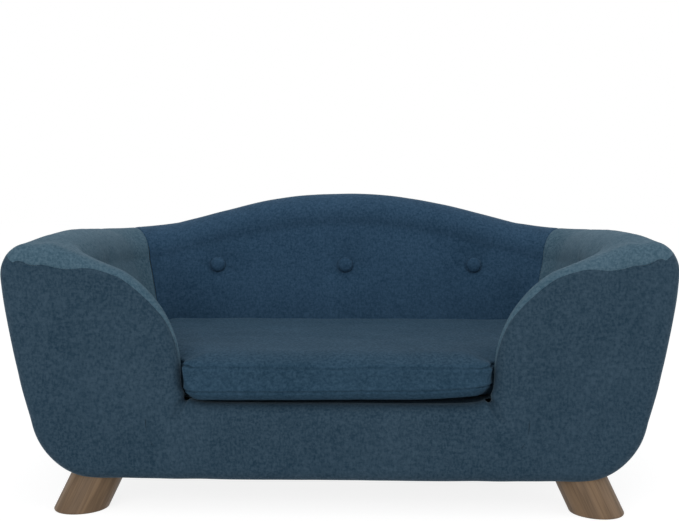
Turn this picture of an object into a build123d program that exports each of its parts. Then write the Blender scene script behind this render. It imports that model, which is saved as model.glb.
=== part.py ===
from build123d import *
import os
from math import cos, pi, radians, sin, sqrt

os.makedirs("parts", exist_ok=True)

# A small padded sofa for a pet. Millimetres, +X to the right, -Y to the front, +Z up,
# with the origin on the floor under the middle of the sofa.

# Overall sizes
half_width = 380.0
overall_depth = 456.0
arm_height = 300.0
arm_rise = 8.0
back_rise = 54.0
body_bottom = 40.5
cushion_overhang = 6.0
overrun = 20.0

# Tub: the padded wall round the seat
wall_top_width = 81.0
wall_seat_width = 110.0
wall_deck_width = 114.0
outer_roll = 37.0
shoulder_drop = 38.0
side_bulge = 4.0
wall_bulge = 3.0
back_lean_share = 0.13
foot_inset = 106.5
foot_radius = 77.0
foot_end_angle = 8.0
corner_inner_radius = 20.0
corner_start_radius = 8.0
corner_floor_share = 1.5
hump_run_share = 0.36
seat_line = 150.0
deck_top = 129.0
edge_roll = 14.0
wing_depth = 84.0

# Front opening, a bell that widens towards the top
opening_foot = 176.5
opening_foot_height = 160.0
opening_flare = 17.5
opening_waist_height = 232.0
opening_neck_share = 0.434
opening_neck_drop = 31.0
opening_lip_inset = 43.0
opening_lip_drop = 7.5

# Cloth and padding
cloth = 2.5
ease = 0.3
facing_pad = 5.2
deck_pad = 8.2
flap_width = 34.0

# Buttons
button_radius = 11.0
button_height = 6.0
button_drop = 50.0
button_spread_share = 0.74
arm_button_y = -25.0
dimple_radius = 60.0
dimple_depth = 5.0
twine_radius = 1.0
twine_tail = 3.5
washer_radius = 9.0
washer_thickness = 1.5

# Timber
board = 9.0
deck_board_thickness = 12.0
front_board_inset = 15.0
frame_bottom = 45.0
frame_inset = 80.0
frame_chamfer = 14.0
block_size = 100.0
block_corner = 30.0
rail_thickness = 28.0
side_rail_thickness = 18.0
side_rail_height = 44.0
board_bottom = 90.0
board_corner = 22.0
board_top_drop = 18.0
back_board_top_drop = 26.0
back_board_reach = 54.0
arm_board_reach = 50.0
post = 24.0
post_top_drop = 40.0
top_rail_width = 26.0
top_rail_height = 28.0
deck_corner = 30.0

# Deck screws
screw_radius = 2.0
screw_head_radius = 4.0
screw_head_height = 3.0
screw_length = 32.0
screw_spacing = 44.0

# Legs
leg_radius = 28.0
leg_inset = 104.0
leg_setback = 38.0
leg_centre_inset = 14.0
leg_splay_side = 0.46
leg_splay_end = 0.31
leg_edge = 2.0
bolt_radius = 4.0
bolt_in_leg = 28.0
bolt_in_block = 34.0
insert_radius = 6.0
insert_length = 16.0
insert_depth = 5.0
bolt_clearance = 0.05
bolt_end_gap = 2.0

# Seat cushion
cushion_gap = 3.0
cushion_side_gap = 1.0
cushion_lift_gap = 0.6
cushion_height = 51.7
cushion_crown_share = 0.355
cushion_shoulder_front_share = 0.0877
cushion_shoulder_back_share = 0.1974
cushion_front_radius = 20.0
cushion_shoulder_radius = 30.0
cushion_draw_in = 3.0
cushion_cloth = 2.0

# Zip in the cushion's rear boxing
zip_length_share = 0.6845
zip_level_share = 0.43
zip_slot_height = 7.0
tape_width = 9.0
tape_thickness = 1.0
tape_gap = 0.3
tooth_pitch = 5.0
tooth_gap = 0.4
tooth_width = 2.2
tooth_height = 2.0
tooth_depth = 1.4
tooth_spine = 1.6
stop_width = 2.5
slider_length = 13.0
slider_plate = 1.4
slider_clearance = 0.3
slider_flange = 1.2
slider_stand_off = 3.5

# Staples under the dust cover
staple_width = 10.0
staple_wire = 1.0
staple_leg = 9.0
staple_run_share = 0.50667
staple_count = 5
dust_margin = 60.0

# Places that follow from the sizes
half_depth = overall_depth / 2
front = -half_depth + cushion_overhang
corner_x = half_width - wall_seat_width - corner_inner_radius
button_level = arm_height - button_drop
corner_y = half_depth - (half_width - corner_x)
flat_half_width = half_width - foot_inset
crest_x = half_width - outer_roll
wall_top_x = half_width - wall_top_width
wall_seat_x = half_width - wall_seat_width
wall_deck_x = half_width - wall_deck_width
back_crest_y = corner_y + crest_x - corner_x
hump_half_span = corner_x * (1 + hump_run_share)
opening_waist = opening_foot + opening_flare
opening_lip = crest_x - opening_lip_inset
opening_neck = opening_waist + (opening_lip - opening_waist) * opening_neck_share
button_spread = corner_x * button_spread_share
frame_half_width = half_width - frame_inset
dust_half_width = frame_half_width - dust_margin
leg_centre_x = half_width - leg_inset
wing_back = front + wing_depth
padding = cloth + ease
wall_height = arm_height + back_rise
inside_front = front + padding + facing_pad
frame_front = inside_front + board
frame_back = corner_y + frame_half_width - corner_x
frame_top = deck_top - padding - deck_pad - deck_board_thickness
deck_board_top = frame_top + deck_board_thickness
arm_board_x = frame_half_width + side_rail_thickness
back_board_y = corner_y + arm_board_x - corner_x
board_top = arm_height - board_top_drop
post_top = arm_height - post_top_drop
leg_front_y = front + leg_setback
leg_back_y = corner_y + leg_centre_inset


def smooth_step(share):
    """Ease from 0 to 1 with level ends."""
    share = min(max(share, 0), 1)
    return (1 - cos(pi * share)) / 2


def back_height(distance):
    """Height of the back's crest at a distance from the middle, measured along the wall."""
    reach = min(abs(distance) / hump_half_span, 1)
    return arm_height + back_rise * (1 + cos(pi * reach)) / 2


def arm_crest(y):
    """Height of the arm's crest, which drops a little towards the rear corner."""
    forward = (corner_y - y) / (corner_y - wing_back)
    return arm_height + arm_rise * smooth_step(forward)


def mix(first, second, share):
    """A point between two points."""
    return tuple(a + (b - a) * share for a, b in zip(first, second))


def drawn_in(points, depth, start):
    """Move a closed outline inwards by depth, keeping its ends on the line where it starts."""
    moved = []
    count = len(points)
    for index in range(count):
        before, here, after = points[index - 1], points[index], points[(index + 1) % count]
        into = Vector(here[0] - before[0], here[1] - before[1]).normalized()
        away = Vector(after[0] - here[0], after[1] - here[1]).normalized()
        normal_in = Vector(-into.Y, into.X)
        normal_out = Vector(-away.Y, away.X)
        shift = (normal_in + normal_out) * (depth / (1 + normal_in.dot(normal_out)))
        moved.append((here[0] + shift.X, here[1] + shift.Y))
    moved[0] = (start, moved[0][1])
    moved[-1] = (start, moved[-1][1])
    return moved


def wall_outline(crest, wing_share, start, depth):
    """Section of the floor and wall: floor from start, rounded foot, side, rolled top, inside."""
    rise = crest - arm_height
    shoulder = arm_height - shoulder_drop + rise
    foot_z = body_bottom + foot_radius
    foot_end = radians(-foot_end_angle)
    foot_middle = (foot_end - pi / 2) / 2
    foot_arc = [
        (flat_half_width + foot_radius * cos(angle), foot_z + foot_radius * sin(angle))
        for angle in (foot_middle, foot_end)
    ]
    inner_roll = wall_top_width - outer_roll
    slope = sqrt(2) / 2
    back_shift = back_lean_share * rise
    arm_side = [
        (crest_x - inner_roll * slope, shoulder + shoulder_drop * slope),
        (wall_top_x + back_shift, shoulder),
        ((wall_top_x + back_shift + wall_seat_x) / 2 - wall_bulge, (shoulder + seat_line) / 2),
        (wall_seat_x, seat_line),
        (wall_deck_x, deck_top),
    ]
    wing_side = [
        (opening_lip, crest - opening_lip_drop),
        (opening_neck, crest - opening_neck_drop),
        (opening_waist, opening_waist_height),
        (opening_foot, opening_foot_height),
        (opening_foot, deck_top),
    ]
    side = (half_width, shoulder)
    side_middle = mix(foot_arc[1], side, 1 / 2)
    points = [
        (start, body_bottom),
        (flat_half_width, body_bottom),
        *foot_arc,
        (side_middle[0] + side_bulge, side_middle[1]),
        side,
        (crest_x + outer_roll * slope, shoulder + shoulder_drop * slope),
        (crest_x, crest),
        *[mix(a, b, wing_share) for a, b in zip(arm_side, wing_side)],
        (start, deck_top),
    ]
    return drawn_in(points, depth, start)


def outline_edges(points):
    """Draw the lines and arcs of a wall outline."""
    Line(points[0], points[1])
    for first in (1, 3, 5, 7, 9):
        ThreePointArc(points[first], points[first + 1], points[first + 2])
    for first in (11, 12):
        Line(points[first], points[first + 1])
    Line(points[13], points[0])


def wall_section(origin, angle, crest, wing_share, start, depth):
    """Draw one wall section on the upright plane that stands outwards at angle."""
    outward = Vector(cos(radians(angle)), sin(radians(angle)), 0)
    along = Vector(outward.Y, -outward.X, 0)
    points = wall_outline(crest, wing_share, start, depth)
    plane = Plane(origin=origin - outward * corner_x, x_dir=outward, z_dir=along)
    with BuildSketch(plane) as section:
        with BuildLine():
            outline_edges(points)
        make_face()
    return section.sketch


def pad_place(crest, level):
    """Half width of the wall's inside at a level above the seat line, and its backward slope."""
    rise = crest - arm_height
    shoulder = arm_height - shoulder_drop + rise
    top = wall_top_x + back_lean_share * rise
    share = (level - seat_line) / (shoulder - seat_line)
    bulge = 4 * wall_bulge * share * (1 - share)
    return wall_seat_x + (top - wall_seat_x) * share - bulge, (top - wall_seat_x) / (shoulder - seat_line)


def back_button_plane(x):
    """Plane on the inside of the back where a button is sewn, facing the seat."""
    reach, slope = pad_place(back_height(x), button_level)
    return Plane(origin=(x, corner_y + reach - corner_x, button_level), x_dir=(1, 0, 0), z_dir=(0, -1, slope))


def arm_button_plane(side):
    """Plane on the inside of an arm where a button is sewn; side is 1 on the right, -1 on the left."""
    reach, slope = pad_place(arm_crest(arm_button_y), button_level)
    return Plane(origin=(side * reach, arm_button_y, button_level), x_dir=(0, 1, 0), z_dir=(-side, 0, slope))


def dimple(plane, depth):
    """Round hollow that a button pulls into the padding, for a surface that lies depth inside."""
    centre = plane.origin + plane.z_dir * (dimple_radius - dimple_depth)
    with Locations(centre):
        Sphere(dimple_radius + depth, mode=Mode.SUBTRACT)


def corner_sections(first_angle, depth):
    """Sections of an eighth of a turn of wall round the rear corner, from first_angle on."""
    centre = Vector(corner_x, corner_y, 0)
    start = corner_x + corner_start_radius
    sections = []
    for step in (0, 15, 30, 45):
        angle = first_angle + step
        along_wall = corner_x + (hump_half_span - corner_x) * (1 - angle / 90)
        sections.append(wall_section(centre, angle, back_height(along_wall), 0, start, depth))
    return sections


def corner_floor(first_angle, depth):
    """The wedge of floor at the heart of a rear corner, which the wall sections leave open."""
    reach = corner_start_radius * corner_floor_share
    rim = [
        (corner_x + reach * cos(radians(angle)), corner_y + reach * sin(radians(angle)))
        for angle in (first_angle, first_angle + 45)
    ]
    with BuildPart() as floor:
        with BuildSketch(Plane.XY.offset(body_bottom + depth)):
            with BuildLine():
                Polyline((corner_x, corner_y), *rim, close=True)
            make_face()
        extrude(amount=deck_top - body_bottom - 2 * depth)
    return floor.part


def arm_form(depth):
    """Right arm with its wing, half of the floor and half of the rear corner."""
    roll = edge_roll - depth
    rolled_edge = []
    for angle in (0, 22.5, 45, 67.5, 90):
        turn = radians(angle)
        y = front + depth + roll * (1 - cos(turn))
        place = Vector(corner_x, y, 0)
        rolled_edge.append(wall_section(place, 0, arm_crest(y), 1, 0, depth + roll * (1 - sin(turn))))
    wing = []
    for share in (0, 0.16, 0.32, 0.5, 0.68, 0.84, 1.0):
        y = front + edge_roll + (wing_depth - edge_roll) * share
        place = Vector(corner_x, y, 0)
        wing.append(wall_section(place, 0, arm_crest(y), 1 - smooth_step(share), 0, depth))
    straight = []
    for share in (0, 0.3, 0.6, 0.85, 1):
        y = wing_back + (corner_y - wing_back) * share
        straight.append(wall_section(Vector(corner_x, y, 0), 0, arm_crest(y), 0, 0, depth))
    with BuildPart() as arm:
        loft(rolled_edge)
        loft(wing)
        loft(straight)
        loft(corner_sections(0, depth))
        add(corner_floor(0, depth))
        dimple(arm_button_plane(1), depth)
    return arm.part


def back_form(depth):
    """Right half of the back wall, from the middle of the rear corner to the middle of the back."""
    sections = []
    for share in (1, 0.8, 0.6, 0.4, 0.2, 0, -0.2):
        x = corner_x * share
        place = Vector(x, corner_y, 0)
        sections.append(wall_section(place, 90, back_height(x), 0, corner_x, depth))
    with BuildPart() as back:
        loft(corner_sections(45, depth))
        loft(sections)
        split(bisect_by=Plane.YZ, keep=Keep.TOP)
        add(corner_floor(45, depth))
        for x in (0, button_spread):
            dimple(back_button_plane(x), depth)
    return back.part


def block(low, high):
    """A box between two opposite corners."""
    with BuildPart() as box:
        with Locations(tuple((a + b) / 2 for a, b in zip(low, high))):
            Box(*[b - a for a, b in zip(low, high)])
    return box.part


def both_sides(half):
    """A half and its mirror image, as one piece."""
    with BuildPart() as whole:
        add(half)
        mirror(half, about=Plane.YZ)
    return whole.part


def both_of(first, second):
    """Two overlapping pieces as one."""
    with BuildPart() as joined:
        add(first)
        add(second)
    return joined.part


def less(piece, *cutters):
    """A piece with others cut away."""
    with BuildPart() as left:
        add(piece)
        for cutter in cutters:
            add(cutter, mode=Mode.SUBTRACT)
    return left.part


def within(piece, region):
    """The part of a piece that lies in a region."""
    with BuildPart() as common:
        add(piece)
        add(region, mode=Mode.INTERSECT)
    return common.part


def save(part, name):
    """Label a finished piece and write it to its file."""
    part.label = name
    export_step(part, f"parts/{name}.step")


# The tub's outer surface, the inside of its cloth, and the surface of its padding
arm_outside = arm_form(0)
arm_inside = arm_form(cloth)
arm_core = arm_form(padding)
back_outside = back_form(0)
back_inside = back_form(cloth)
back_core = back_form(padding)

# Regions that divide the cloth and the padding
far = half_width + overrun
facing_region = block((-overrun, front - overrun, 0), (far, front + cloth, wall_height + overrun))
front_flap_region = block(
    (-overrun, front + cloth, 0), (dust_half_width, front + cloth + flap_width, body_bottom + edge_roll)
)
deck_edge_x = wall_deck_x + 2 * cloth
deck_region = block(
    (-overrun, front + cloth, deck_top - 2 * cloth),
    (deck_edge_x, corner_y + deck_edge_x - corner_x, deck_top + cloth),
)
apron_region = block(
    (-overrun, front + cloth, deck_top - edge_roll - 2 * cloth),
    (opening_foot + edge_roll + cloth, front + edge_roll + cloth, deck_top + cloth),
)
dust_region = block(
    (-overrun, front + cloth + flap_width, 0),
    (dust_half_width, frame_back - flap_width / 2, body_bottom + edge_roll),
)
rear_region = block((-overrun, back_crest_y, 0), (far, half_depth + overrun, arm_height - shoulder_drop))

# Legs, set square to their splay and cut level at the floor and at the frame
leg_places = {
    "front_left": (-1, -1, leg_front_y),
    "front_right": (1, -1, leg_front_y),
    "rear_left": (-1, 1, leg_back_y),
    "rear_right": (1, 1, leg_back_y),
}


def leg_plane(side, end, y):
    """Plane across the top of a leg, facing up along the leg."""
    upwards = Vector(-side * leg_splay_side, -end * leg_splay_end, 1)
    return Plane(origin=(side * leg_centre_x, y, frame_bottom), x_dir=(0, 1, 0), z_dir=upwards)


def rod(plane, radius, start, end):
    """A round bar along a plane's normal, from start to end."""
    with BuildPart() as bar:
        with BuildSketch(plane.offset(start)):
            Circle(radius)
        extrude(amount=end - start)
    return bar.part


leg_reach = frame_bottom + 2 * leg_radius
all_legs = []
all_bolts = []
all_inserts = []
for name, (side, end, y) in leg_places.items():
    plane = leg_plane(side, end, y)
    with BuildPart() as leg:
        with BuildSketch(plane):
            Circle(leg_radius)
        extrude(amount=leg_reach, both=True)
        split(bisect_by=Plane.XY.offset(frame_bottom), keep=Keep.BOTTOM)
        split(bisect_by=Plane.XY, keep=Keep.TOP)
        fillet(leg.edges().group_by(Axis.Z)[0], leg_edge)
        with BuildSketch(plane.offset(-bolt_in_leg)):
            Circle(bolt_radius + bolt_clearance)
        extrude(amount=leg_reach, mode=Mode.SUBTRACT)
    save(leg.part, f"{name}_leg")
    all_legs.append(rod(plane, leg_radius + 2 * ease, -leg_radius, leg_radius / 2))
    all_bolts.append(rod(plane, bolt_radius, -bolt_in_leg, bolt_in_block))
    insert = rod(plane, insert_radius, insert_depth, insert_depth + insert_length)
    all_inserts.append(less(insert, rod(plane, bolt_radius + bolt_clearance, 0, bolt_in_block)))
with BuildPart() as leg_bolts:
    add(all_bolts)
save(leg_bolts.part, "leg_bolts")
with BuildPart() as leg_inserts:
    add(all_inserts)
save(leg_inserts.part, "leg_inserts")
with BuildPart() as leg_sockets:
    add(all_legs)
leg_pockets = within(leg_sockets.part, block((-far, -half_depth, 0), (far, half_depth, frame_bottom)))

# Screws that hold the deck board to the corner blocks
block_places = {
    "front_left": (-1, frame_front),
    "front_right": (1, frame_front),
    "rear_left": (-1, frame_back - block_size),
    "rear_right": (1, frame_back - block_size),
}
block_centre_x = frame_half_width - block_size / 2
screw_places = [
    (side * (block_centre_x + spread * screw_spacing / 2), y + block_size / 2, deck_board_top)
    for side, y in block_places.values()
    for spread in (-1, 1)
]


def screws(clearance):
    """Countersunk screws pointing down from the deck, or the holes for them."""
    with BuildPart() as fasteners:
        for x, y, z in screw_places:
            with Locations((x, y, z - screw_head_height / 2)):
                Cone(screw_radius + clearance, screw_head_radius + clearance, screw_head_height)
            with Locations((x, y, z - screw_length / 2)):
                Cylinder(screw_radius + clearance, screw_length)
    return fasteners.part


deck_screws = screws(0)
save(deck_screws, "deck_screws")
screw_holes = screws(bolt_clearance)

# Staples through the dust cover into the front and back rails
staple_spacing = 2 * frame_half_width * staple_run_share / (staple_count - 1)
staple_rows = (front + cloth + flap_width + staple_wire * 3, frame_back - flap_width / 2 - staple_wire * 3)


def staples(clearance):
    """Wire staples with their crowns under the dust cover, or the holes for them."""
    wire = staple_wire + 2 * clearance
    with BuildPart() as fixings:
        for y in staple_rows:
            for step in range(staple_count):
                x = (step - (staple_count - 1) / 2) * staple_spacing
                with Locations((x, y, body_bottom - staple_wire / 2 - 2 * bolt_clearance)):
                    Box(staple_width + 2 * clearance, wire, wire)
                for end in (-1, 1):
                    leg_x = x + end * (staple_width - staple_wire) / 2
                    with Locations((leg_x, y, body_bottom + staple_leg / 2 - staple_wire)):
                        Box(wire, wire, staple_leg + 2 * clearance)
    return fixings.part


staple_wires = staples(0)
save(staple_wires, "staples")
staple_holes = staples(bolt_clearance)

# Timber under the deck
for name, (side, y) in block_places.items():
    plane = leg_plane(*leg_places[name])
    with BuildPart() as corner_block:
        with Locations((side * block_centre_x, y + block_size / 2, (frame_bottom + frame_top) / 2)):
            Box(block_size, block_size, frame_top - frame_bottom)
        if y > 0:
            upright_edges = corner_block.edges().filter_by(Axis.Z)
            corner_edge = upright_edges.sort_by(lambda edge: edge.center().length)[-1]
            chamfer(corner_edge, block_corner)
        outer_edges = [
            edge
            for edge in corner_block.edges().group_by(Axis.Z)[0]
            if abs(edge.center().X) > frame_half_width - block_corner
            or edge.center().Y > frame_back - block_corner
        ]
        chamfer(outer_edges, frame_chamfer)
        add(
            rod(plane, bolt_radius + bolt_clearance, -leg_radius, bolt_in_block + bolt_end_gap),
            mode=Mode.SUBTRACT,
        )
        add(
            rod(plane, insert_radius + bolt_clearance, -leg_radius, insert_depth + insert_length),
            mode=Mode.SUBTRACT,
        )
        add(screw_holes, mode=Mode.SUBTRACT)
    save(corner_block.part, f"{name}_block")

rail_half_length = frame_half_width - block_size
front_rail = block(
    (-rail_half_length, frame_front, frame_bottom),
    (rail_half_length, frame_front + rail_thickness, frame_top),
)
front_rail = less(front_rail, staple_holes)
save(front_rail, "front_rail")
with BuildPart() as back_rail:
    add(
        block(
            (-rail_half_length, frame_back - rail_thickness, frame_bottom),
            (rail_half_length, frame_back, frame_top),
        )
    )
    chamfer(back_rail.edges().group_by(Axis.Z)[0].group_by(Axis.Y)[-1], frame_chamfer)
    add(staple_holes, mode=Mode.SUBTRACT)
save(back_rail.part, "back_rail")
centre_rail = block(
    (-rail_thickness / 2, frame_front + rail_thickness, frame_top - rail_thickness),
    (rail_thickness / 2, frame_back - rail_thickness, frame_top),
)
save(centre_rail, "centre_rail")
right_side_rail = block(
    (frame_half_width, frame_front, frame_top - side_rail_height), (arm_board_x, corner_y, frame_top)
)
save(right_side_rail, "right_side_rail")
save(right_side_rail.mirror(Plane.YZ), "left_side_rail")

# Deck board
with BuildPart() as deck_board:
    add(block((-arm_board_x, frame_front, frame_top), (arm_board_x, back_board_y, deck_board_top)))
    fillet(deck_board.edges().filter_by(Axis.Z).group_by(Axis.Y)[-1], deck_corner)
    add(screw_holes, mode=Mode.SUBTRACT)
save(deck_board.part, "deck_board")

# Front board, the U-shaped facing behind the front cloth
front_outline = wall_outline(arm_crest(front), 1, 0, front_board_inset)
with BuildPart() as half_front_board:
    with BuildSketch(Plane.XZ.offset(-inside_front)):
        with BuildLine():
            outline_edges(front_outline)
        make_face()
    extrude(amount=-board)
front_board = both_sides(half_front_board.part)
save(front_board, "front_board")

# Back board with its humped top, and the arm boards
back_board_half_width = corner_x + back_board_reach
hump_places = [back_board_half_width * share for share in (-1, -0.75, -0.5, -0.25, 0, 0.25, 0.5, 0.75, 1)]
with BuildPart() as back_board:
    with BuildSketch(Plane.XZ.offset(-back_board_y)) as panel:
        with BuildLine():
            hump = Spline(*[(x, back_height(x) - back_board_top_drop) for x in hump_places])
            Polyline(
                hump @ 1,
                (back_board_half_width, board_bottom + board_corner),
                (back_board_half_width - board_corner, board_bottom),
                (board_corner - back_board_half_width, board_bottom),
                (-back_board_half_width, board_bottom + board_corner),
                hump @ 0,
            )
        make_face()
    extrude(amount=-board)
right_arm_board = block(
    (arm_board_x, frame_front, board_bottom), (arm_board_x + board, corner_y + arm_board_reach, board_top)
)
front_post = block(
    (arm_board_x - post, frame_front, deck_board_top), (arm_board_x, frame_front + post, post_top)
)
rear_post = block(
    (arm_board_x - post, back_board_y - post, deck_board_top), (arm_board_x, back_board_y, post_top)
)
top_rail = block(
    (arm_board_x + board, frame_front, board_top - top_rail_height),
    (arm_board_x + board + top_rail_width, corner_y, board_top),
)
side_timbers = ((front_post, "front_post"), (rear_post, "rear_post"), (top_rail, "top_rail"))
for part, name in side_timbers:
    save(part, f"right_{name}")
    save(part.mirror(Plane.YZ), f"left_{name}")

# Buttons, each with a twine through the padding and the board to a washer behind
back_reach = board + back_board_y
arm_reach = arm_board_x + board
back_planes = [back_button_plane(x) for x in (-button_spread, 0, button_spread)]
arm_planes = [arm_button_plane(side) for side in (-1, 1)]
button_sag = button_radius**2 / (2 * dimple_radius)
button_base = button_sag + ease - dimple_depth


def button_solid(plane):
    """A domed, cloth-covered button that sits in its dimple."""
    with BuildPart() as button:
        with BuildSketch(plane.offset(button_base)):
            Circle(button_radius)
        extrude(amount=button_height)
        fillet(button.faces().sort_by(Axis(plane.origin, plane.z_dir))[-1].edges(), button_height * 2 / 3)
    return button.part


def twine_length(plane, board_back):
    """Distance along a button's axis from the padding's surface to the back of the board."""
    if abs(plane.z_dir.Y) > abs(plane.z_dir.X):
        return (board_back - plane.origin.Y) / abs(plane.z_dir.Y)
    return (board_back - abs(plane.origin.X)) / abs(plane.z_dir.X)


def washer_plane(plane, board_back):
    """Plane on the back of the board where a twine comes through, facing outwards."""
    exit_point = plane.origin - plane.z_dir * twine_length(plane, board_back)
    if abs(plane.z_dir.Y) > abs(plane.z_dir.X):
        outward = Vector(0, 1, 0)
    else:
        outward = Vector(1 if plane.origin.X > 0 else -1, 0, 0)
    return Plane(origin=exit_point, z_dir=outward)


back_buttons = [button_solid(plane) for plane in back_planes]
arm_buttons = [button_solid(plane) for plane in arm_planes]
button_places = [(plane, back_reach) for plane in back_planes] + [(plane, arm_reach) for plane in arm_planes]
twines = []
channels = []
washers = []
washer_pockets = []
for plane, board_back in button_places:
    length = twine_length(plane, board_back)
    end = -length - washer_thickness - twine_tail
    knot_radius = 3 * twine_radius
    twines.append(
        both_of(
            rod(plane, twine_radius, end, button_base),
            rod(plane, knot_radius, end, end + twine_tail - washer_thickness),
        )
    )
    channels.append(rod(plane, 2 * twine_radius, end - ease, button_height))
    ring = washer_plane(plane, board_back)
    washers.append(rod(ring, washer_radius, 0, washer_thickness))
    washer_pockets.append(rod(ring, washer_radius + ease, 0, washer_thickness + 2 * twine_tail))
button_groups = ((back_buttons, "back_buttons"), (arm_buttons, "arm_buttons"), (twines, "button_twines"))
for group, name in button_groups:
    with BuildPart() as grouped:
        add(group)
    save(grouped.part, name)
with BuildPart() as twine_channels:
    add(channels)
with BuildPart() as pockets:
    add(washer_pockets)
with BuildPart() as button_washers:
    add(washers)
    add(twine_channels.part, mode=Mode.SUBTRACT)
save(button_washers.part, "button_washers")
back_board_solid = less(back_board.part, twine_channels.part)
save(back_board_solid, "back_board")
right_arm_board = less(right_arm_board, twine_channels.part)
save(right_arm_board, "right_arm_board")
save(right_arm_board.mirror(Plane.YZ), "left_arm_board")

# Cloth over the tub
arm_cloth = less(arm_outside, arm_inside)
back_cloth = less(back_outside, back_inside)
facing = within(arm_outside, facing_region)
front_flap = within(arm_cloth, front_flap_region)
with BuildPart() as facing_and_flap:
    add(facing)
    add(front_flap)
front_cover = less(both_sides(facing_and_flap.part), leg_pockets)
save(front_cover, "front_cover")
with BuildPart() as half_deck:
    add(within(arm_cloth, deck_region))
    add(within(arm_cloth, apron_region))
    add(within(back_cloth, deck_region))
save(both_sides(half_deck.part), "deck_cover")
with BuildPart() as half_dust:
    add(within(arm_cloth, dust_region))
    add(within(back_cloth, dust_region))
dust_cover = less(both_sides(half_dust.part), staple_holes)
save(dust_cover, "dust_cover")
right_arm_cover = less(
    arm_cloth,
    facing_region,
    front_flap_region,
    deck_region,
    apron_region,
    dust_region,
    leg_pockets,
    twine_channels.part,
)
save(right_arm_cover, "right_arm_cover")
save(right_arm_cover.mirror(Plane.YZ), "left_arm_cover")
back_half = less(back_cloth, deck_region, dust_region, leg_pockets, twine_channels.part)
save(both_sides(within(back_half, rear_region)), "rear_cover")
save(both_sides(less(back_half, rear_region)), "back_cover")

# Padding
deck_foam_edge = wall_deck_x - padding - cloth
deck_foam = block(
    (-deck_foam_edge, frame_front, deck_board_top),
    (deck_foam_edge, corner_y + deck_foam_edge - corner_x, deck_top - padding),
)
save(deck_foam, "deck_foam")
facing_foam_region = block((-overrun, front - overrun, 0), (far, inside_front, wall_height + overrun))
apron_foam_region = block((-overrun, inside_front, 0), (opening_foot - padding, frame_front, deck_top))
under_deck = block((-overrun, frame_front, 0), (frame_half_width, frame_back, frame_top))
deck_slab = block((-overrun, frame_front, frame_top), (arm_board_x, back_board_y, deck_board_top))
with BuildPart() as half_front_foam:
    add(within(arm_core, facing_foam_region))
    add(within(arm_core, apron_foam_region))
    add(half_front_board.part, mode=Mode.SUBTRACT)
    add(leg_pockets, mode=Mode.SUBTRACT)
save(both_sides(half_front_foam.part), "front_foam")
right_arm_foam = less(
    arm_core,
    facing_foam_region,
    apron_foam_region,
    half_front_board.part,
    under_deck,
    deck_slab,
    right_side_rail,
    deck_foam,
    right_arm_board,
    front_post,
    rear_post,
    top_rail,
    back_board_solid,
    twine_channels.part,
    pockets.part,
    leg_pockets,
)
save(right_arm_foam, "right_arm_foam")
save(right_arm_foam.mirror(Plane.YZ), "left_arm_foam")
half_back_foam = less(
    back_core,
    under_deck,
    deck_slab,
    deck_foam,
    right_arm_board,
    rear_post,
    back_board_solid,
    twine_channels.part,
    pockets.part,
)
save(both_sides(half_back_foam), "back_foam")

# Seat cushion, T-shaped in plan so that its front fills the opening between the wings
cushion_bottom = deck_top + cushion_lift_gap
cushion_front_half = opening_foot - cushion_side_gap
cushion_half = wall_deck_x - cushion_gap
zip_length = 2 * cushion_half * zip_length_share
cushion_back = corner_y + wall_deck_x - corner_x - cushion_gap - slider_stand_off
cushion_shoulder_front = overall_depth * cushion_shoulder_front_share
cushion_shoulder_back = overall_depth * cushion_shoulder_back_share
cushion_crown_run = (cushion_back - front - cushion_shoulder_back) * cushion_crown_share
cushion_level_shares = (0, 0.05, 0.16, 0.30, 0.43, 0.57, 0.70, 0.80, 0.88, 0.94, 0.98, 1)
cushion_inset_shares = (0.105, 0.05, 0.012, 0.019, 0.024, 0.018, 0, 0.05, 0.15, 0.36, 0.66, 1)
boxing_start = 2
boxing_end = 6


def cushion_outline(level, depth):
    """Rounded T of the cushion at a level, drawn in by depth."""
    front_edge = -half_depth + depth
    side_front = cushion_front_half - depth
    side_back = cushion_half - depth
    neck = front + cushion_shoulder_front + depth
    shoulder = front + cushion_shoulder_back + depth
    rear = cushion_back - depth
    with BuildSketch(Plane.XY.offset(level)) as outline:
        with BuildLine():
            ThreePointArc(
                (-side_front, front_edge),
                (0, front_edge + cushion_draw_in),
                (side_front, front_edge),
            )
            Line((side_front, front_edge), (side_front, neck))
            Line((side_front, neck), (side_back, shoulder))
            ThreePointArc(
                (side_back, shoulder),
                (side_back - cushion_draw_in, (shoulder + rear) / 2),
                (side_back, rear),
            )
            Line((side_back, rear), (-side_back, rear))
            ThreePointArc(
                (-side_back, rear),
                (cushion_draw_in - side_back, (shoulder + rear) / 2),
                (-side_back, shoulder),
            )
            Line((-side_back, shoulder), (-side_front, neck))
            Line((-side_front, neck), (-side_front, front_edge))
        make_face()
        fillet(outline.vertices().group_by(Axis.Y)[1], cushion_shoulder_radius)
        corners = outline.vertices().group_by(Axis.Y)
        fillet(corners[0] + corners[-1] + corners[-2], cushion_front_radius)
    return outline.sketch


def cushion_form(depth):
    """The cushion's crowned form, drawn in by depth all round."""
    height = cushion_height - 2 * depth
    sections = [
        cushion_outline(cushion_bottom + depth + height * level, depth + cushion_crown_run * inset)
        for level, inset in zip(cushion_level_shares, cushion_inset_shares)
    ]
    with BuildPart() as cushion:
        loft(sections[: boxing_start + 1])
        loft(sections[boxing_start : boxing_end + 1])
        loft(sections[boxing_end:])
    return cushion.part


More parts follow.
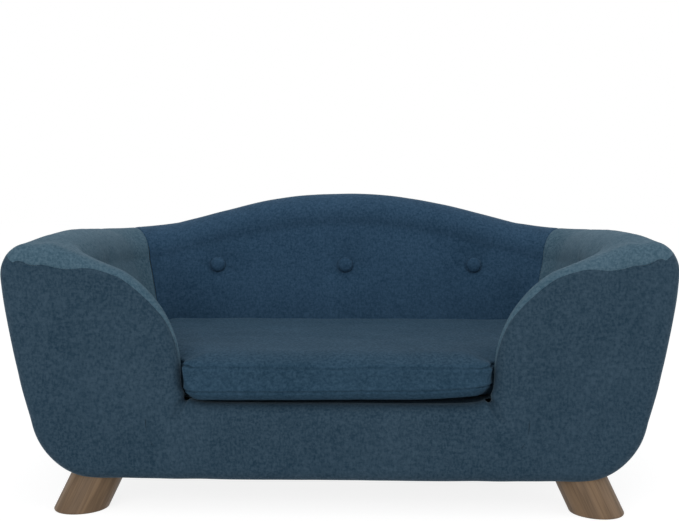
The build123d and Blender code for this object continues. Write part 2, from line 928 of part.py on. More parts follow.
cushion_outside = cushion_form(0)
cushion_inside = cushion_form(cushion_cloth)
zip_level = cushion_bottom + cushion_height * zip_level_share
tape_back = cushion_back - cushion_crown_run * min(cushion_inset_shares[boxing_start:boxing_end]) + tape_gap
zip_slot = block(
    (-zip_length / 2, cushion_back - 5 * cushion_cloth, zip_level - zip_slot_height / 2),
    (zip_length / 2, cushion_back + overrun, zip_level + zip_slot_height / 2),
)
save(less(cushion_outside, cushion_inside, zip_slot), "cushion_cover")
save(cushion_form(cushion_cloth + ease), "cushion_foam")

# Zip: two tapes outside the slot, each with a toothed edge, and a stop at each end
tape_front = tape_back + tape_thickness
tape_half_length = zip_length / 2 + tape_width
tape_edge = tooth_gap / 2
tapes = []
combs = []
tooth_count = int(zip_length // tooth_pitch)
for side in (-1, 1):
    low = zip_level + side * tape_edge
    high = zip_level + side * (tape_edge + tape_width)
    tapes.append(
        block(
            (-tape_half_length, tape_back, min(low, high)),
            (tape_half_length, tape_front, max(low, high)),
        )
    )
    with BuildPart() as comb:
        spine_low = zip_level + side * (tooth_height / 2 + tooth_gap)
        spine_high = spine_low + side * tooth_spine
        add(
            block(
                (-zip_length / 2, tape_front, min(spine_low, spine_high)),
                (zip_length / 2, tape_front + tooth_depth, max(spine_low, spine_high)),
            )
        )
        tooth_middle = zip_level + side * tooth_gap / 2
        shift = side * tooth_pitch / 4
        with Locations((shift, tape_front + tooth_depth / 2, tooth_middle)):
            with GridLocations(tooth_pitch, tooth_pitch, tooth_count - 1, 1):
                Box(tooth_width, tooth_depth, tooth_height + tooth_gap)
    combs.append(comb.part)
with BuildPart() as zip_tapes:
    add(tapes)
save(zip_tapes.part, "zip_tapes")
with BuildPart() as zip_teeth:
    add(combs)
save(zip_teeth.part, "zip_teeth")
chain_half_height = tooth_height / 2 + tooth_gap + tooth_spine
stop_centre_x = (zip_length + stop_width) / 2
stops = [
    block(
        (side * stop_centre_x - stop_width / 2, tape_front, zip_level - chain_half_height),
        (
            side * stop_centre_x + stop_width / 2,
            tape_front + tooth_depth + slider_plate,
            zip_level + chain_half_height,
        ),
    )
    for side in (-1, 1)
]
with BuildPart() as zip_stops:
    add(stops)
save(zip_stops.part, "zip_stops")

# Zip slider, closed at the right-hand end: a plate with a flange over and under the chain
slider_middle = zip_length / 2 - slider_length / 2 - slider_clearance
plate_back = tape_front + tooth_depth + slider_clearance
flange_inside = chain_half_height + slider_clearance
slider_half_height = flange_inside + slider_flange
with BuildPart() as zip_slider:
    with BuildSketch(Plane.XZ.offset(-plate_back)):
        with Locations((slider_middle, zip_level)):
            RectangleRounded(slider_length, 2 * slider_half_height, slider_flange)
    extrude(amount=-slider_plate)
    for side in (-1, 1):
        with Locations(
            (
                slider_middle,
                (tape_front + slider_clearance + plate_back) / 2,
                zip_level + side * (flange_inside + slider_flange / 2),
            )
        ):
            Box(
                slider_length - 2 * slider_flange,
                plate_back - tape_front - slider_clearance,
                slider_flange,
            )
save(zip_slider.part, "zip_slider")
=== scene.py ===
from math import atan2, cos, hypot, pi, radians, sin, sqrt

import bmesh
import bpy
import numpy as np
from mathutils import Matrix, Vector, noise


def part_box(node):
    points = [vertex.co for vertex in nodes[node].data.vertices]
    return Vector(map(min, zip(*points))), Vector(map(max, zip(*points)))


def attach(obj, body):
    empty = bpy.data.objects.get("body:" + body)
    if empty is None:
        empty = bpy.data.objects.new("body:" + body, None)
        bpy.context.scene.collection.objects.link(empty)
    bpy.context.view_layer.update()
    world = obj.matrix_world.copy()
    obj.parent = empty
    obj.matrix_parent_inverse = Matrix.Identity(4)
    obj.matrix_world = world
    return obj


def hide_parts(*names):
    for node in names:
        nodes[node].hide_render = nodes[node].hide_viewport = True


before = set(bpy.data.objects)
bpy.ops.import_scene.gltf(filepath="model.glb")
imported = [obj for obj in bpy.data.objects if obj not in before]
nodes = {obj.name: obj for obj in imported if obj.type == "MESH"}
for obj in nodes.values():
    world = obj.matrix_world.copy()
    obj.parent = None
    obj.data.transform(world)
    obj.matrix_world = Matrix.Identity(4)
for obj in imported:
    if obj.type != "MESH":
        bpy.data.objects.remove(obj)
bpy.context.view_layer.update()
scene = bpy.context.scene

# Camera: the photograph's place and angle
CAMERA_DISTANCE = 1.4147
CAMERA_HEIGHT = 0.3921
CAMERA_AZIMUTH = 1.7
CAMERA_PITCH = -4.901
LENS = 57.4
SENSOR_WIDTH = 36.0
SIDE_SHIFT = -0.0042


def placed(name, data):
    """A new object in the scene."""
    thing = bpy.data.objects.new(name, data)
    scene.collection.objects.link(thing)
    return thing


camera_data = bpy.data.cameras.new("camera")
camera_data.lens = LENS
camera_data.sensor_width = SENSOR_WIDTH
camera_data.shift_x = SIDE_SHIFT
camera = placed("camera", camera_data)
scene.camera = camera
azimuth = radians(CAMERA_AZIMUTH)
camera.location = (CAMERA_DISTANCE * sin(azimuth), -CAMERA_DISTANCE * cos(azimuth), CAMERA_HEIGHT)
camera.rotation_euler = (radians(90 + CAMERA_PITCH), 0, azimuth)

# The tub's sizes, in millimetres
MM = 0.001
HALF_WIDTH = 380.0
FRONT = -222.0
BODY_BOTTOM = 40.5
ARM_HEIGHT = 300.0
CORNER_RISE = 6.3
ARM_RISE = 9.3
ARM_RISE_RUN = 220.0
SHOULDER_LAG = 6.0
BACK_RISE = 54.0
HUMP_FULLNESS = 4.5
CORNER = np.array([250.0, 98.0])
CREST_REACH = 343.0
OUTER_ROLL = 37.0
SHOULDER_DROP = 38.0
WALL_TOP = 299.0
WALL_SEAT = 270.0
WALL_DECK = 266.0
FLOOR_REACH = 273.5
FOOT_RADIUS = 77.0
FOOT_END = radians(-8.0)
SIDE_BULGE = 4.0
WALL_BULGE = 3.0
BACK_LEAN = 0.13
SEAT_LINE = 150.0
DECK_TOP = 129.0
EDGE_ROLL = 14.0
WING_BACK = -138.0
ROLL_BACK = FRONT + EDGE_ROLL
HUMP_HALF_SPAN = 340.0
OPENING = {"foot": 176.5, "foot_height": 160.0, "waist": 195.5, "waist_height": 231.5,
           "neck": 240.0, "neck_drop": 39.5, "lip": 300.0, "lip_drop": 17.0}

# Places along the wall's section, from under the floor over the crest to the deck
FLAP, FOOT, SIDE, SHOULDER, CREST, INNER_SHOULDER, SEAT, DECK = range(8)
OUTER_SEAM = SHOULDER + 0.45

# Seams: how close the rows beside one lie, how much of its depth each takes, and the usual distance of rows
SEAM_EDGE = (0.0, 1.1, 2.4, 4.2)
SEAM_FALL = (1.0, 0.5, 0.12)
SEAM_DEPTH = 1.35
CELL = 5.5

# How gradually a seam's depth begins: over shares of its length, and over millimetres from the front edge
FOOT_FADE, TOP_FADE, FRONT_FADE = 0.15, 0.04, 12.0

BUTTON_LEVEL = 253.0
BACK_BUTTONS = (-185.0, 0.0, 185.0)
ARM_BUTTON_Y = -25.0


def ease(share):
    """From 0 to 1 with level ends."""
    return (1 - np.cos(pi * np.clip(share, 0, 1))) / 2


def ramp(distance, run):
    """From 0 to 1 in a straight line over a run."""
    return np.clip(distance / run, 0, 1)


def back_height(distance):
    reach = min(abs(distance) / HUMP_HALF_SPAN, 1)
    return ARM_HEIGHT + BACK_RISE * (1 + cos(pi * reach)) / 2 + HUMP_FULLNESS * sin(pi * reach) ** 2


def arm_height(y):
    return ARM_HEIGHT + CORNER_RISE + ARM_RISE * sin(pi / 2 * min((CORNER[1] - y) / ARM_RISE_RUN, 1))


STEPS = 24
CREST_SOFT = 12


def arc_points(first, middle, last):
    """STEPS stretches of the round arc through three points."""
    (ax, ay), (mx, my), (bx, by) = first, middle, last
    turn = 2 * (ax * (my - by) + mx * (by - ay) + bx * (ay - my))
    if abs(turn) < 1e-3:
        return np.linspace(first, last, STEPS + 1)
    a, m, b = ax * ax + ay * ay, mx * mx + my * my, bx * bx + by * by
    cx = (a * (my - by) + m * (by - ay) + b * (ay - my)) / turn
    cy = (a * (bx - mx) + m * (ax - bx) + b * (mx - ax)) / turn
    start = atan2(ay - cy, ax - cx)
    halfway = (atan2(my - cy, mx - cx) - start + pi) % (2 * pi) - pi
    rest = (atan2(by - cy, bx - cx) - start - halfway + pi) % (2 * pi) - pi
    radius = hypot(ax - cx, ay - cy)
    angles = start + (halfway + rest) * np.linspace(0, 1, STEPS + 1)
    return np.column_stack((cx + radius * np.cos(angles), cy + radius * np.sin(angles)))


def full_section(crest, wing):
    """The wall's whole section as close points, STEPS to each stretch between named places."""
    rise = crest - ARM_HEIGHT
    drop = SHOULDER_DROP + min(rise, SHOULDER_LAG)
    shoulder = crest - drop
    slope = sqrt(2) / 2
    foot = [(FLOOR_REACH + FOOT_RADIUS * cos(angle), BODY_BOTTOM + FOOT_RADIUS + FOOT_RADIUS * sin(angle))
            for angle in ((FOOT_END - pi / 2) / 2, FOOT_END)]
    wall_top = WALL_TOP + BACK_LEAN * rise
    arm = np.array([(CREST_REACH - (CREST_REACH - WALL_TOP) * slope, shoulder + drop * slope),
                    (wall_top, shoulder),
                    ((wall_top + WALL_SEAT) / 2 - WALL_BULGE, (shoulder + SEAT_LINE) / 2),
                    (WALL_SEAT, SEAT_LINE),
                    (WALL_DECK, DECK_TOP)])
    bell = np.array([(OPENING["lip"], crest - OPENING["lip_drop"]),
                     (OPENING["neck"], crest - OPENING["neck_drop"]),
                     (OPENING["waist"], OPENING["waist_height"]),
                     (OPENING["foot"], OPENING["foot_height"]),
                     (OPENING["foot"], DECK_TOP)])
    inner = arm + (bell - arm) * wing
    floor, side, top = (FLOOR_REACH, BODY_BOTTOM), (HALF_WIDTH, shoulder), (CREST_REACH, crest)
    side_middle = ((foot[1][0] + side[0]) / 2 + SIDE_BULGE, (foot[1][1] + side[1]) / 2)
    stretches = [
        np.linspace((CORNER[0], BODY_BOTTOM), floor, STEPS + 1),
        arc_points(floor, *foot),
        arc_points(foot[1], side_middle, side),
        arc_points(side, (CREST_REACH + OUTER_ROLL * slope, shoulder + drop * slope), top),
        arc_points(top, inner[0], inner[1]),
        arc_points(*inner[1:4]),
        np.linspace(inner[3], inner[4], STEPS + 1),
    ]
    points = np.vstack([stretches[0]] + [stretch[1:] for stretch in stretches[1:]])
    softened = points.copy()
    for step in range(1 - CREST_SOFT, CREST_SOFT):
        at, half = CREST * STEPS + step, CREST_SOFT - abs(step)
        softened[at] = points[at - half:at + half + 1].mean(axis=0)
    return points + (softened - points) * wing


def along(line, shares):
    """Points at shares of the way along a line of points."""
    travelled = np.concatenate(([0], np.cumsum(np.linalg.norm(np.diff(line, axis=0), axis=1))))
    where = np.asarray(shares) * travelled[-1]
    return np.column_stack([np.interp(where, travelled, axis) for axis in line.T])


def section(crest, wing, first, last, shares, inset=0.0):
    """Points at shares of the way along the section from place first to place last, moved in by inset."""
    dense = full_section(crest, wing)
    places = np.linspace(FLAP, DECK, len(dense))
    run = np.gradient(dense, axis=0)
    run /= np.linalg.norm(run, axis=1)[:, None]
    dense = dense + np.column_stack((-run[:, 1], run[:, 0])) * inset
    dense[:, 1] -= np.clip(places - SEAT, 0, 1) * inset * wing
    fine = np.linspace(min(first, last), max(first, last), 200)
    line = np.column_stack([np.interp(fine, places, axis) for axis in dense.T])
    return along(line, shares if first < last else 1 - np.asarray(shares))


def spaced(length, cell=CELL, seam_first=True, seam_last=True):
    """Shares along a length, close together next to a seam."""
    first = list(SEAM_EDGE) if seam_first else [0.0]
    last = [length - x for x in reversed(SEAM_EDGE)] if seam_last else [length]
    span = last[0] - first[-1]
    count = max(int(round(span / cell)), 1)
    middle = [first[-1] + span * k / count for k in range(1, count)]
    return np.array(first + middle + last) / length


def wing_share(y):
    """How much the section at y is the wing's: 0 behind the wing, 1 at the front edge."""
    return 1 - ease((y - ROLL_BACK) / (WING_BACK - ROLL_BACK))


def arm_row(y, first, last, shares, inset=0.0, face=None):
    """One row of the right arm at y; face moves it to another y."""
    flat = section(arm_height(y), wing_share(y), first, last, shares, inset)
    return np.insert(flat, 1, y if face is None else face, axis=1)


def corner_row(angle, first, last, shares):
    """One row of the right rear corner, at angle degrees round it."""
    turn = radians(angle)
    crest = back_height(CORNER[0] + (HUMP_HALF_SPAN - CORNER[0]) * (1 - angle / 90))
    flat = section(crest + CORNER_RISE * cos(turn) ** 4, 0, first, last, shares)
    out = flat[:, 0] - CORNER[0]
    return np.column_stack((CORNER[0] + out * cos(turn), CORNER[1] + out * sin(turn), flat[:, 1]))


def back_row(x, first, last, shares):
    """One row of the back at x."""
    flat = section(back_height(x), 0, first, last, shares)
    return np.column_stack((np.full(len(flat), x), CORNER[1] + flat[:, 0] - CORNER[0], flat[:, 1]))


def mirrored(rows):
    return np.asarray(rows) * (-1, 1, 1)


def flipped(grid):
    """The left twin of a right-hand grid, with its faces turned out."""
    return mirrored(grid)[::-1]


def outward(grid):
    """Unit normals of a grid of points, away from the padding."""
    normals = np.cross(np.gradient(grid, axis=1), np.gradient(grid, axis=0))
    return normals / np.maximum(np.linalg.norm(normals, axis=2), 1e-9)[:, :, None]


def tucked(grid, normals, first=0.0, last=0.0, start=0.0, end=0.0):
    """Turn the borders of a grid in, so that two pieces meet in a seam; each border has its own share."""
    depths = np.zeros(grid.shape[:2])
    for k, fall in enumerate(SEAM_FALL):
        for line, share in ((depths[k], first), (depths[-1 - k], last), (depths[:, k], start),
                            (depths[:, -1 - k], end)):
            line[:] = np.maximum(line, fall * SEAM_DEPTH * np.asarray(share))
    return grid - normals * depths[:, :, None]


SWELLING = 0.9
SWELL_SIZE, SWELL_PLACE = (82, 64, 58), (3.1, 7.7, 1.9)


def uneven(grid, normals):
    """Slight unevenness of cloth over padding, the same wherever two pieces meet."""
    swelling = np.empty(grid.shape[:2])
    for at in np.ndindex(*swelling.shape):
        point = Vector(grid[at] / SWELL_SIZE + SWELL_PLACE)
        swelling[at] = noise.noise(point) + 0.4 * noise.noise(point * 2.7)
    return grid + normals * (SWELLING * swelling)[:, :, None]


def tufted(grid, normals, centre, depth=7.0, spread=23.0, folds=7, fold=1.6):
    """Cloth drawn in by a button, with small folds that run out from it and a longer one upwards."""
    offset = grid - np.asarray(centre)
    sideways = np.hypot(offset[:, :, 0], offset[:, :, 1])
    above = np.maximum(offset[:, :, 2], 0)
    below = np.minimum(offset[:, :, 2], 0)
    distance = np.sqrt(sideways**2 + (0.72 * above) ** 2 + below**2)
    turn = np.arctan2(offset[:, :, 2], offset[:, :, 0] + offset[:, :, 1])
    hollow = depth * np.exp(-(distance / spread) ** 1.6)
    crease = fold * np.exp(-(sideways / 5) ** 2 - ((above - 24) / 15) ** 2) * (offset[:, :, 2] > 0)
    ripple = 0.8 * np.cos(folds * turn + centre[0]) * np.exp(-((distance - 21) / 9) ** 2)
    return grid - normals * (hollow + crease + ripple)[:, :, None]


JOIN = 0.05


def new_piece(name, points, faces, join=0.0):
    """A piece of points in millimetres; those closer than join become one."""
    mesh = bpy.data.meshes.new(name)
    mesh.from_pydata((np.array(points) * MM).tolist(), [], faces)
    if join:
        shape = bmesh.new()
        shape.from_mesh(mesh)
        bmesh.ops.remove_doubles(shape, verts=shape.verts, dist=join * MM)
        shape.to_mesh(mesh)
        shape.free()
    mesh.polygons.foreach_set("use_smooth", [True] * len(mesh.polygons))
    return placed(name, mesh)


def smoothed(piece, levels=1):
    """Divide a piece's faces, for a smooth surface."""
    smooth = piece.modifiers.new("smooth", "SUBSURF")
    smooth.levels = smooth.render_levels = levels


def mesh_piece(name, grids, levels=1):
    """One piece of one or more grids of points, joined where they touch."""
    points, faces = [], []
    for grid in grids:
        at = len(points) + np.arange(grid[:, :, 0].size).reshape(grid.shape[:2])
        points += grid.reshape(-1, 3).tolist()
        faces += np.dstack((at[:-1, :-1], at[:-1, 1:], at[1:, 1:], at[1:, :-1])).reshape(-1, 4).tolist()
    piece = new_piece(name, points, faces, join=JOIN)
    if levels:
        smoothed(piece, levels)
    return piece


# Cloth round the front edge: how far it travels from the inside towards the flat front
ROLL_LENGTH = EDGE_ROLL * pi / 2
FIELD_START, FIELD_END = -12, 48
SEAM_TRAVEL = ((0.0, 0.0), (0.1, 1.0), (0.17, 2.5), (0.233, 4.5), (0.298, 6.0), (0.363, 10.5), (0.452, 13.5),
               (0.542, 14.0), (0.61, 13.3), (0.67, 15.0), (0.7, 17.8), (0.74, 22.0), (0.77, 26.0), (0.8, 29.0),
               (0.86, 31.0), (0.9, 31.0), (0.94, 31.0), (0.97, 29.5), (0.985, 25.5), (1.0, 16.0))
SEAM_SMOOTH = 25


def rolled(travel):
    """The y of the row that the cloth comes from, how far in it lies, and its own y."""
    if travel < 0:
        return ROLL_BACK - travel, 0.0, ROLL_BACK - travel
    if travel < ROLL_LENGTH:
        turn = travel / EDGE_ROLL
        return ROLL_BACK, EDGE_ROLL * (1 - cos(turn)), FRONT + EDGE_ROLL * (1 - sin(turn))
    return ROLL_BACK, EDGE_ROLL + travel - ROLL_LENGTH, FRONT


# Rows a millimetre of travel apart, from the arm round the front edge onto the flat front
ROLLED_ROWS = [rolled(travel) for travel in range(FIELD_START, FIELD_END + 1)]


def edge_field(first, last, shares):
    """These rows on a stretch of the wall's section."""
    return np.array([arm_row(y, first, last, shares, inset, face) for y, inset, face in ROLLED_ROWS])


def apron_field(widths, heights):
    """These rows on the apron, with its places across and its heights given for no travel."""
    return np.array([[(x * (1 + inset / widths[-1]), face, height - inset) for x, height in zip(widths, heights)]
                     for _, inset, face in ROLLED_ROWS])


def picked(field, travels):
    """One row out of a field, with a travel for each column."""
    place = np.clip(np.asarray(travels) - FIELD_START, 0, len(field) - 1.001)
    low = place.astype(int)
    part = (place - low)[:, None]
    columns = np.arange(field.shape[1])
    return field[low, columns] * (1 - part) + field[low + 1, columns] * part


def seam_travel(shares):
    """Travel of the front seam at shares of the way from the deck over the crest."""
    fine = np.linspace(0, 1, 401)
    line = np.interp(fine, *zip(*SEAM_TRAVEL))
    for _ in range(2):
        line = np.convolve(np.pad(line, SEAM_SMOOTH // 2, mode="edge"), np.ones(SEAM_SMOOTH) / SEAM_SMOOTH, "valid")
    return np.interp(shares, fine, line)


def inner_point(crest, level):
    """How far out the wall's inside lies at a level, and its backward slope."""
    shoulder = crest - SHOULDER_DROP - min(crest - ARM_HEIGHT, SHOULDER_LAG)
    top = WALL_TOP + BACK_LEAN * (crest - ARM_HEIGHT)
    share = (level - SEAT_LINE) / (shoulder - SEAT_LINE)
    bulge = 4 * WALL_BULGE * share * (1 - share)
    return WALL_SEAT + (top - WALL_SEAT) * share - bulge, (top - WALL_SEAT) / (shoulder - SEAT_LINE)


# Soft departures from the even shape, in millimetres
FILL, FILL_REACH, FILL_RUN = (6.0, 5.0), 10, 40
SAG, SAG_REACH, SAG_RUN = 2.3, 18, 60
SETTLING, SETTLED_FROM, SETTLED_RUN = 4.0, (315, 40, 245), (50, 120, 35)
APRON_DIP, DIP_FLAT, DIP_RUN = 3.0, 140, 36


def fill_corner(grid):
    """Padding that fills the two lower corners of the opening a little."""
    away = np.hypot(np.abs(grid[:, :, 0]) - OPENING["foot"], grid[:, :, 2] - DECK_TOP)
    share = np.exp(-(away / FILL_REACH) ** 2) * np.exp(-(np.maximum(grid[:, :, 1] - FRONT, 0) / FILL_RUN) ** 2)
    moved = grid.copy()
    moved[:, :, 0] -= FILL[0] * share * np.sign(grid[:, :, 0])
    moved[:, :, 2] += FILL[1] * share
    return moved


def sagged(grid):
    """The cover's lower front edge hangs a little below the frame."""
    lowered = grid.copy()
    depth = SAG * np.exp(-((grid[:, :, 2] - BODY_BOTTOM) / SAG_REACH) ** 2)
    lowered[:, :, 2] -= depth * (1 - ease((grid[:, :, 1] - ROLL_BACK) / SAG_RUN))
    return lowered


def settled(grid):
    """The left arm's front shoulder, a little lower than the right one."""
    lowered = grid.copy()
    lowered[:, :, 2] -= SETTLING * ease((grid * (-1, -1, 1) - SETTLED_FROM) / SETTLED_RUN).prod(axis=2)
    return lowered


def apron_dip(x):
    """How far the apron's top edge lies below the deck."""
    return APRON_DIP * (1 - ease((np.abs(x) - DIP_FLAT) / DIP_RUN))


# Rows of the walls
INSIDE = (DECK, OUTER_SEAM)
OUTSIDE = (FLAP, OUTER_SEAM)
SEAM_TURN = 50.0
WALL_RUN, ARM_TURN_RUN, BACK_TURN_RUN = 290, 78, 62
wall_shares = spaced(WALL_RUN, seam_first=False)
arm_start = ROLL_BACK - FIELD_START
arm_run = arm_start + (CORNER[1] - arm_start) * spaced(CORNER[1] - arm_start, seam_first=False, seam_last=False)
side_run = ROLL_BACK + (CORNER[1] - ROLL_BACK) * spaced(CORNER[1] - ROLL_BACK, seam_last=False)
arm_turn = SEAM_TURN * spaced(ARM_TURN_RUN, seam_first=False)[1:]
back_turn = SEAM_TURN + (90 - SEAM_TURN) * spaced(BACK_TURN_RUN, seam_last=False)[:-1]
back_run = CORNER[0] * (1 - 2 * spaced(2 * CORNER[0], seam_first=False, seam_last=False))

# Arms: the padded inside, the rolled top and the front edge, down to the seams
arm_reach, arm_slope = inner_point(arm_height(ARM_BUTTON_Y), BUTTON_LEVEL)
wrap_field = edge_field(*INSIDE, wall_shares)
wrap_seam = seam_travel(wall_shares)
wrap_rows = [picked(wrap_field, wrap_seam - edge) for edge in SEAM_EDGE]
for share in np.linspace(0, 1, 8)[1:]:
    wrap_rows.append(picked(wrap_field, (wrap_seam - SEAM_EDGE[-1]) * (1 - share) + FIELD_START * share))
wrap_rows += [arm_row(y, *INSIDE, wall_shares) for y in arm_run[1:]]
wrap_rows += [corner_row(angle, *INSIDE, wall_shares) for angle in arm_turn]
wrap = fill_corner(np.array(wrap_rows))
wrap_normals = outward(wrap)
wrap = uneven(wrap, wrap_normals)
wrap = tufted(wrap, wrap_normals, (arm_reach, ARM_BUTTON_Y, BUTTON_LEVEL), depth=6.0, fold=0.7)
wrap = tucked(wrap, wrap_normals, first=ramp(wall_shares, FOOT_FADE) * ramp(1 - wall_shares, TOP_FADE), last=1,
              end=ramp(wrap[:, -1, 1] - ROLL_BACK, FRONT_FADE))
right_arm_wrap = mesh_piece("right_arm_wrap", [wrap])
left_arm_wrap = mesh_piece("left_arm_wrap", [settled(flipped(wrap))])

side_rows = [arm_row(y, *OUTSIDE, wall_shares) for y in side_run]
side_rows += [corner_row(angle, *OUTSIDE, wall_shares) for angle in arm_turn]
side = sagged(np.array(side_rows)[:, ::-1])
side_normals = outward(side)
side = uneven(side, side_normals)
side_top = np.clip(np.arange(side.shape[1]) / 6 - 0.3, 0, 1)
side = tucked(side, side_normals, first=0.6 * side_top, last=1, start=ramp(side[:, 0, 1] - ROLL_BACK, FRONT_FADE))
right_side_panel = mesh_piece("right_side_panel", [side])
left_side_panel = mesh_piece("left_side_panel", [settled(flipped(side))])


def back_rows(places, shares):
    """Rows from the right corner seam round the back to the left one."""
    corner = [corner_row(angle, *places, shares) for angle in back_turn]
    middle = [back_row(x, *places, shares) for x in back_run]
    return np.array(corner + middle + [mirrored(row) for row in reversed(corner)])


# Back: one panel inside and over the crest, one outside
back = back_rows(INSIDE, wall_shares)
back_normals = outward(back)
back = uneven(back, back_normals)
back_button_places = []
for x in BACK_BUTTONS:
    reach, slope = inner_point(back_height(x), BUTTON_LEVEL)
    place = (x, CORNER[1] + reach - CORNER[0], BUTTON_LEVEL)
    back_button_places.append((place, slope))
    back = tufted(back, back_normals, place)
back_wrap = mesh_piece("back_wrap", [tucked(back, back_normals, first=1, last=1, end=1)])

rear = back_rows(OUTSIDE, wall_shares)[:, ::-1]
rear_normals = outward(rear)
rear = tucked(uneven(rear, rear_normals), rear_normals, first=1, last=1, start=1)
rear_panel = mesh_piece("rear_panel", [rear])

# Front panel: the flat padded facing, round the edge to the seams and over the apron under the cushion
APRON_FLAT, APRON_SEAM = 130, -6.0
RIM_RUN, RIM_CELL = 319, 5.0
FLOOR_SPREAD = 1.06
CROWN, CROWN_START, CROWN_RUN = 1.8, 8, 20
apron_widths = np.concatenate((np.linspace(0, APRON_FLAT, 15)[:-1], np.linspace(APRON_FLAT, OPENING["foot"], 17)))
apron_count = len(apron_widths)
rim_shares = spaced(RIM_RUN, cell=RIM_CELL, seam_first=False)[1:]
inner_field = np.concatenate((apron_field(apron_widths, DECK_TOP - apron_dip(apron_widths)),
                              edge_field(*INSIDE, rim_shares)), axis=1)
inner_seam = np.concatenate((np.full(apron_count, APRON_SEAM), seam_travel(rim_shares)))

# The outer border: floor columns under the apron's, then on round the foot and up the side
columns = inner_field.shape[1]
side_share = (np.arange(columns) - apron_count + 1) / (columns - apron_count)
floor_widths = apron_widths * FLOOR_SPREAD
outer_rows = []
for y, inset, face in ROLLED_ROWS:
    level = BODY_BOTTOM + inset
    rise = arm_row(y, FOOT, OUTER_SEAM, np.linspace(0, 1, 200), inset, face)
    floor_line = [(x, face, level) for x in np.linspace(floor_widths[-1], rise[0][0], 20, endpoint=False)]
    round_side = along(np.vstack((floor_line, rise)), side_share[apron_count:])
    outer_rows.append(np.vstack(([(x, face, level) for x in floor_widths], round_side)))
outer_field = np.array(outer_rows)

# Rows from the floor and the outer seam in, then from the inner seam out, and the flat rows between them
closing = ease((1 - side_share) / 0.12)
seam_end = inner_seam[-1]
outer_reach = seam_end + (ROLL_LENGTH - seam_end) * closing
inner_reach = seam_end + (FIELD_END - 1 - seam_end) * closing
inner_reach = np.maximum(inner_reach, inner_seam + 3 * ramp(1 - side_share, 0.05))
front_rows = [picked(outer_field, travel * outer_reach / ROLL_LENGTH)
              for travel in (*SEAM_EDGE, 7.5, 11.0, 14.7, 18.4, ROLL_LENGTH)]
room = ramp(inner_reach - inner_seam, 14)
start = inner_seam + SEAM_EDGE[-1] * room
inner_rows = [picked(inner_field, inner_seam + edge * room) for edge in SEAM_EDGE]
inner_rows += [picked(inner_field, start + (inner_reach - start) * share) for share in np.linspace(0, 1, 11)[1:]]
front_rows += [front_rows[-1] + (inner_rows[-1] - front_rows[-1]) * share for share in np.linspace(0, 1, 26)[1:-1]]
front = sagged(fill_corner(np.array(front_rows + inner_rows[::-1])))
front_normals = outward(front)
flat = np.linalg.norm(np.cross(np.gradient(front, axis=1), np.gradient(front, axis=0)), axis=2) < 0.05
front_normals[flat] = (0, -1, 0)
clearance = np.minimum(np.linalg.norm(front - front[0], axis=2), np.linalg.norm(front - front[-1], axis=2))
crowned = CROWN * (1 - np.exp(-np.maximum(clearance - CROWN_START, 0) / CROWN_RUN))
front = uneven(front + front_normals * crowned[:, :, None], front_normals)

# A fold where the apron's cloth is turned round the foot of the opening
CREASE = np.array([(168.5, 135.0), (174.0, 127.5), (178.5, 120.0), (181.0, 113.0), (182.0, 106.0)])
CREASE_DEPTH, CREASE_WIDTH = 7.0, 2.6


def crease_depth(x, z):
    """Depth of the fold at a place on the front."""
    starts, runs = CREASE[:-1], np.diff(CREASE, axis=0)
    share = np.clip((((x, z) - starts) * runs).sum(1) / (runs * runs).sum(1), 0, 1)
    distances = np.linalg.norm(starts + runs * share[:, None] - (x, z), axis=1)
    return CREASE_DEPTH * ease((z - 100) / 15) * np.exp(-(distances.min() / CREASE_WIDTH) ** 2)


for at in np.ndindex(front.shape[0], apron_count + 12):
    x, _, z = front[at]
    if 150 < x < 200 and z > 90:
        front[at] -= front_normals[at] * crease_depth(x, z)
near_top = ramp(1 - side_share, TOP_FADE)
seam_part = np.concatenate((np.zeros(apron_count), ramp(rim_shares, FOOT_FADE))) * near_top
floor_part = np.where(side_share > 0.25, 0.6, 0.0) * near_top
front = tucked(front, front_normals, first=floor_part, last=seam_part)

# The floor edge turns under and is stapled to the front rail
flap_edge = front[0][(front[0][:, 0] < CORNER[0] + 4) & (front[0][:, 2] < BODY_BOTTOM + 2)]
flap = np.array([flap_edge + (0, back_by, rise) for back_by, rise in ((30, 2.3), (20, 2.0), (10, 0.8), (0, 0))])
front_grids = [front[::-1], flap[::-1]]
front_panel = mesh_piece("front_panel", front_grids + [settled(flipped(grid)) for grid in front_grids])

# Deck cloth under the cushion
deck_front, deck_radius = ROLL_BACK + 6, WALL_DECK - CORNER[0]
deck_rows = []
for y in np.linspace(deck_front, CORNER[1] + deck_radius, 60):
    half = WALL_DECK + (OPENING["foot"] - WALL_DECK) * wing_share(y)
    if y > CORNER[1]:
        half = CORNER[0] + sqrt(max(deck_radius**2 - (y - CORNER[1]) ** 2, 0))
    xs = half * np.linspace(-1, 1, 80)
    drop = 0.5 + 0.5 * np.abs(np.sin(xs / 37)) + apron_dip(xs) * (1 - ease((y - deck_front) / 30))
    deck_rows.append(np.column_stack((xs, np.full(len(xs), y), DECK_TOP - drop)))
deck_cloth = mesh_piece("deck_cloth", [fill_corner(np.array(deck_rows)[::-1])], levels=0)

# Dust cloth under the frame, hemmed and pulled tight between its staples
DUST_HALF, DUST_FRONT, DUST_BACK, HEM_WIDTH = 250.0, -190.0, 101.0, 11
dust_rows = []
for y in np.linspace(DUST_FRONT, DUST_BACK, 60):
    row = []
    for x in np.linspace(-DUST_HALF, DUST_HALF, 96):
        edge = min(DUST_HALF - abs(x), y - DUST_FRONT, DUST_BACK - y)
        sag = 0.6 * min(edge / 60, 1) + 0.5 * noise.noise(Vector((x / 60, y / 40, 3)))
        row.append((x, y, BODY_BOTTOM - 0.5 - 0.5 * (edge < HEM_WIDTH) + sag * 0.6))
    dust_rows.append(row)
dust_cloth = mesh_piece("dust_cloth", [np.array(dust_rows)], levels=0)

